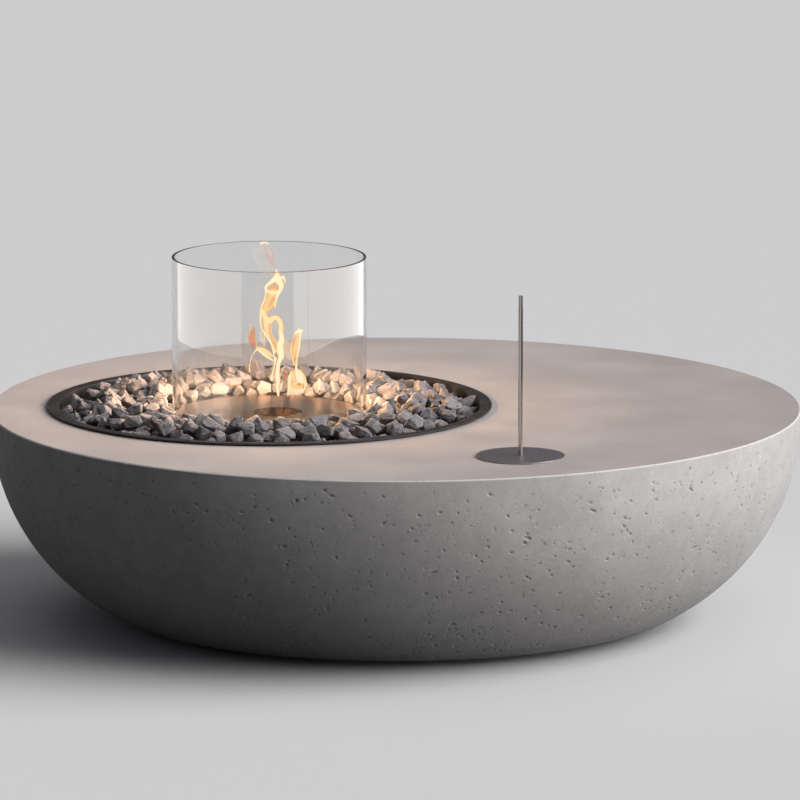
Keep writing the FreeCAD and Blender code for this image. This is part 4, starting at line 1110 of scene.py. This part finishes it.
class FIREPIT_OT_concrete(bpy.types.Operator):
    """Cast the concrete bowl with its pores"""
    bl_idname = "firepit.concrete"
    bl_label = "Concrete bowl"

    def execute(self, context):
        cast_bowl(context.scene.firepit_concrete)
        return {"FINISHED"}


class FIREPIT_OT_steel(bpy.types.Operator):
    """Coat and plate the pan, the shelf and the hidden steelwork"""
    bl_idname = "firepit.steel"
    bl_label = "Pan and steelwork"

    def execute(self, context):
        dress_steel(context.scene.firepit_steel)
        return {"FINISHED"}


class FIREPIT_OT_stones(bpy.types.Operator):
    """Split and tumble the basalt stones"""
    bl_idname = "firepit.stones"
    bl_label = "Basalt stones"

    def execute(self, context):
        split_stones(context.scene.firepit_stones)
        return {"FINISHED"}


class FIREPIT_OT_burner(bpy.types.Operator):
    """Brush the burner plate, cup and jacket"""
    bl_idname = "firepit.burner"
    bl_label = "Burner"

    def execute(self, context):
        dress_burner(context.scene.firepit_steel)
        return {"FINISHED"}


class FIREPIT_OT_glass(bpy.types.Operator):
    """Make the wind screen clear glass"""
    bl_idname = "firepit.glass"
    bl_label = "Glass wind screen"

    def execute(self, context):
        paint(drawn_glass(context.scene.firepit_steel), "glass_screen")
        return {"FINISHED"}


class FIREPIT_OT_snuffer(bpy.types.Operator):
    """Blacken the snuffer's disc and grind its rod"""
    bl_idname = "firepit.snuffer"
    bl_label = "Snuffer"

    def execute(self, context):
        dress_snuffer(context.scene.firepit_steel)
        return {"FINISHED"}


class FIREPIT_OT_flame(bpy.types.Operator):
    """Light the flame over the burner's mouth"""
    bl_idname = "firepit.flame"
    bl_label = "Flame"

    def execute(self, context):
        light_flame(context.scene.firepit_flame)
        return {"FINISHED"}


class FIREPIT_OT_studio(bpy.types.Operator):
    """Set the floor, the lights and the camera"""
    bl_idname = "firepit.studio"
    bl_label = "Studio"

    def execute(self, context):
        set_studio(context.scene.firepit_stage)
        return {"FINISHED"}


class FIREPIT_PT_panel(bpy.types.Panel):
    """Lists the operators and their sizes and colours"""
    bl_label = "Fire pit table"
    bl_idname = "FIREPIT_PT_panel"
    bl_space_type = "VIEW_3D"
    bl_region_type = "UI"
    bl_category = "Fire pit"

    def draw(self, context):
        for operator in OPERATORS:
            self.layout.operator(operator.bl_idname)
        for name in SETTINGS:
            box = self.layout.box()
            group = getattr(context.scene, name)
            for key in group.bl_rna.properties.keys():
                if key not in ("rna_type", "name"):
                    box.prop(group, key)


OPERATORS = (FIREPIT_OT_studio, FIREPIT_OT_concrete, FIREPIT_OT_steel, FIREPIT_OT_stones,
             FIREPIT_OT_burner, FIREPIT_OT_glass, FIREPIT_OT_snuffer, FIREPIT_OT_flame)
SETTINGS = {"firepit_concrete": ConcreteSettings, "firepit_steel": SteelSettings,
            "firepit_stones": StoneSettings, "firepit_flame": FlameSettings,
            "firepit_stage": StageSettings}


def register():
    """Adds the settings, the operators and the panel."""
    for group in (*SETTINGS.values(), *OPERATORS, FIREPIT_PT_panel):
        bpy.utils.register_class(group)
    for name, group in SETTINGS.items():
        setattr(bpy.types.Scene, name, bpy.props.PointerProperty(type=group))


def unregister():
    """Takes them out again."""
    for name in SETTINGS:
        delattr(bpy.types.Scene, name)
    for group in (FIREPIT_PT_panel, *OPERATORS, *SETTINGS.values()):
        bpy.utils.unregister_class(group)


def main():
    """Dresses the whole table."""
    register()
    bpy.ops.firepit.studio()
    bpy.ops.firepit.concrete()
    bpy.ops.firepit.steel()
    bpy.ops.firepit.stones()
    bpy.ops.firepit.burner()
    bpy.ops.firepit.glass()
    bpy.ops.firepit.snuffer()
    bpy.ops.firepit.flame()


if __name__ == "__main__":
    main()
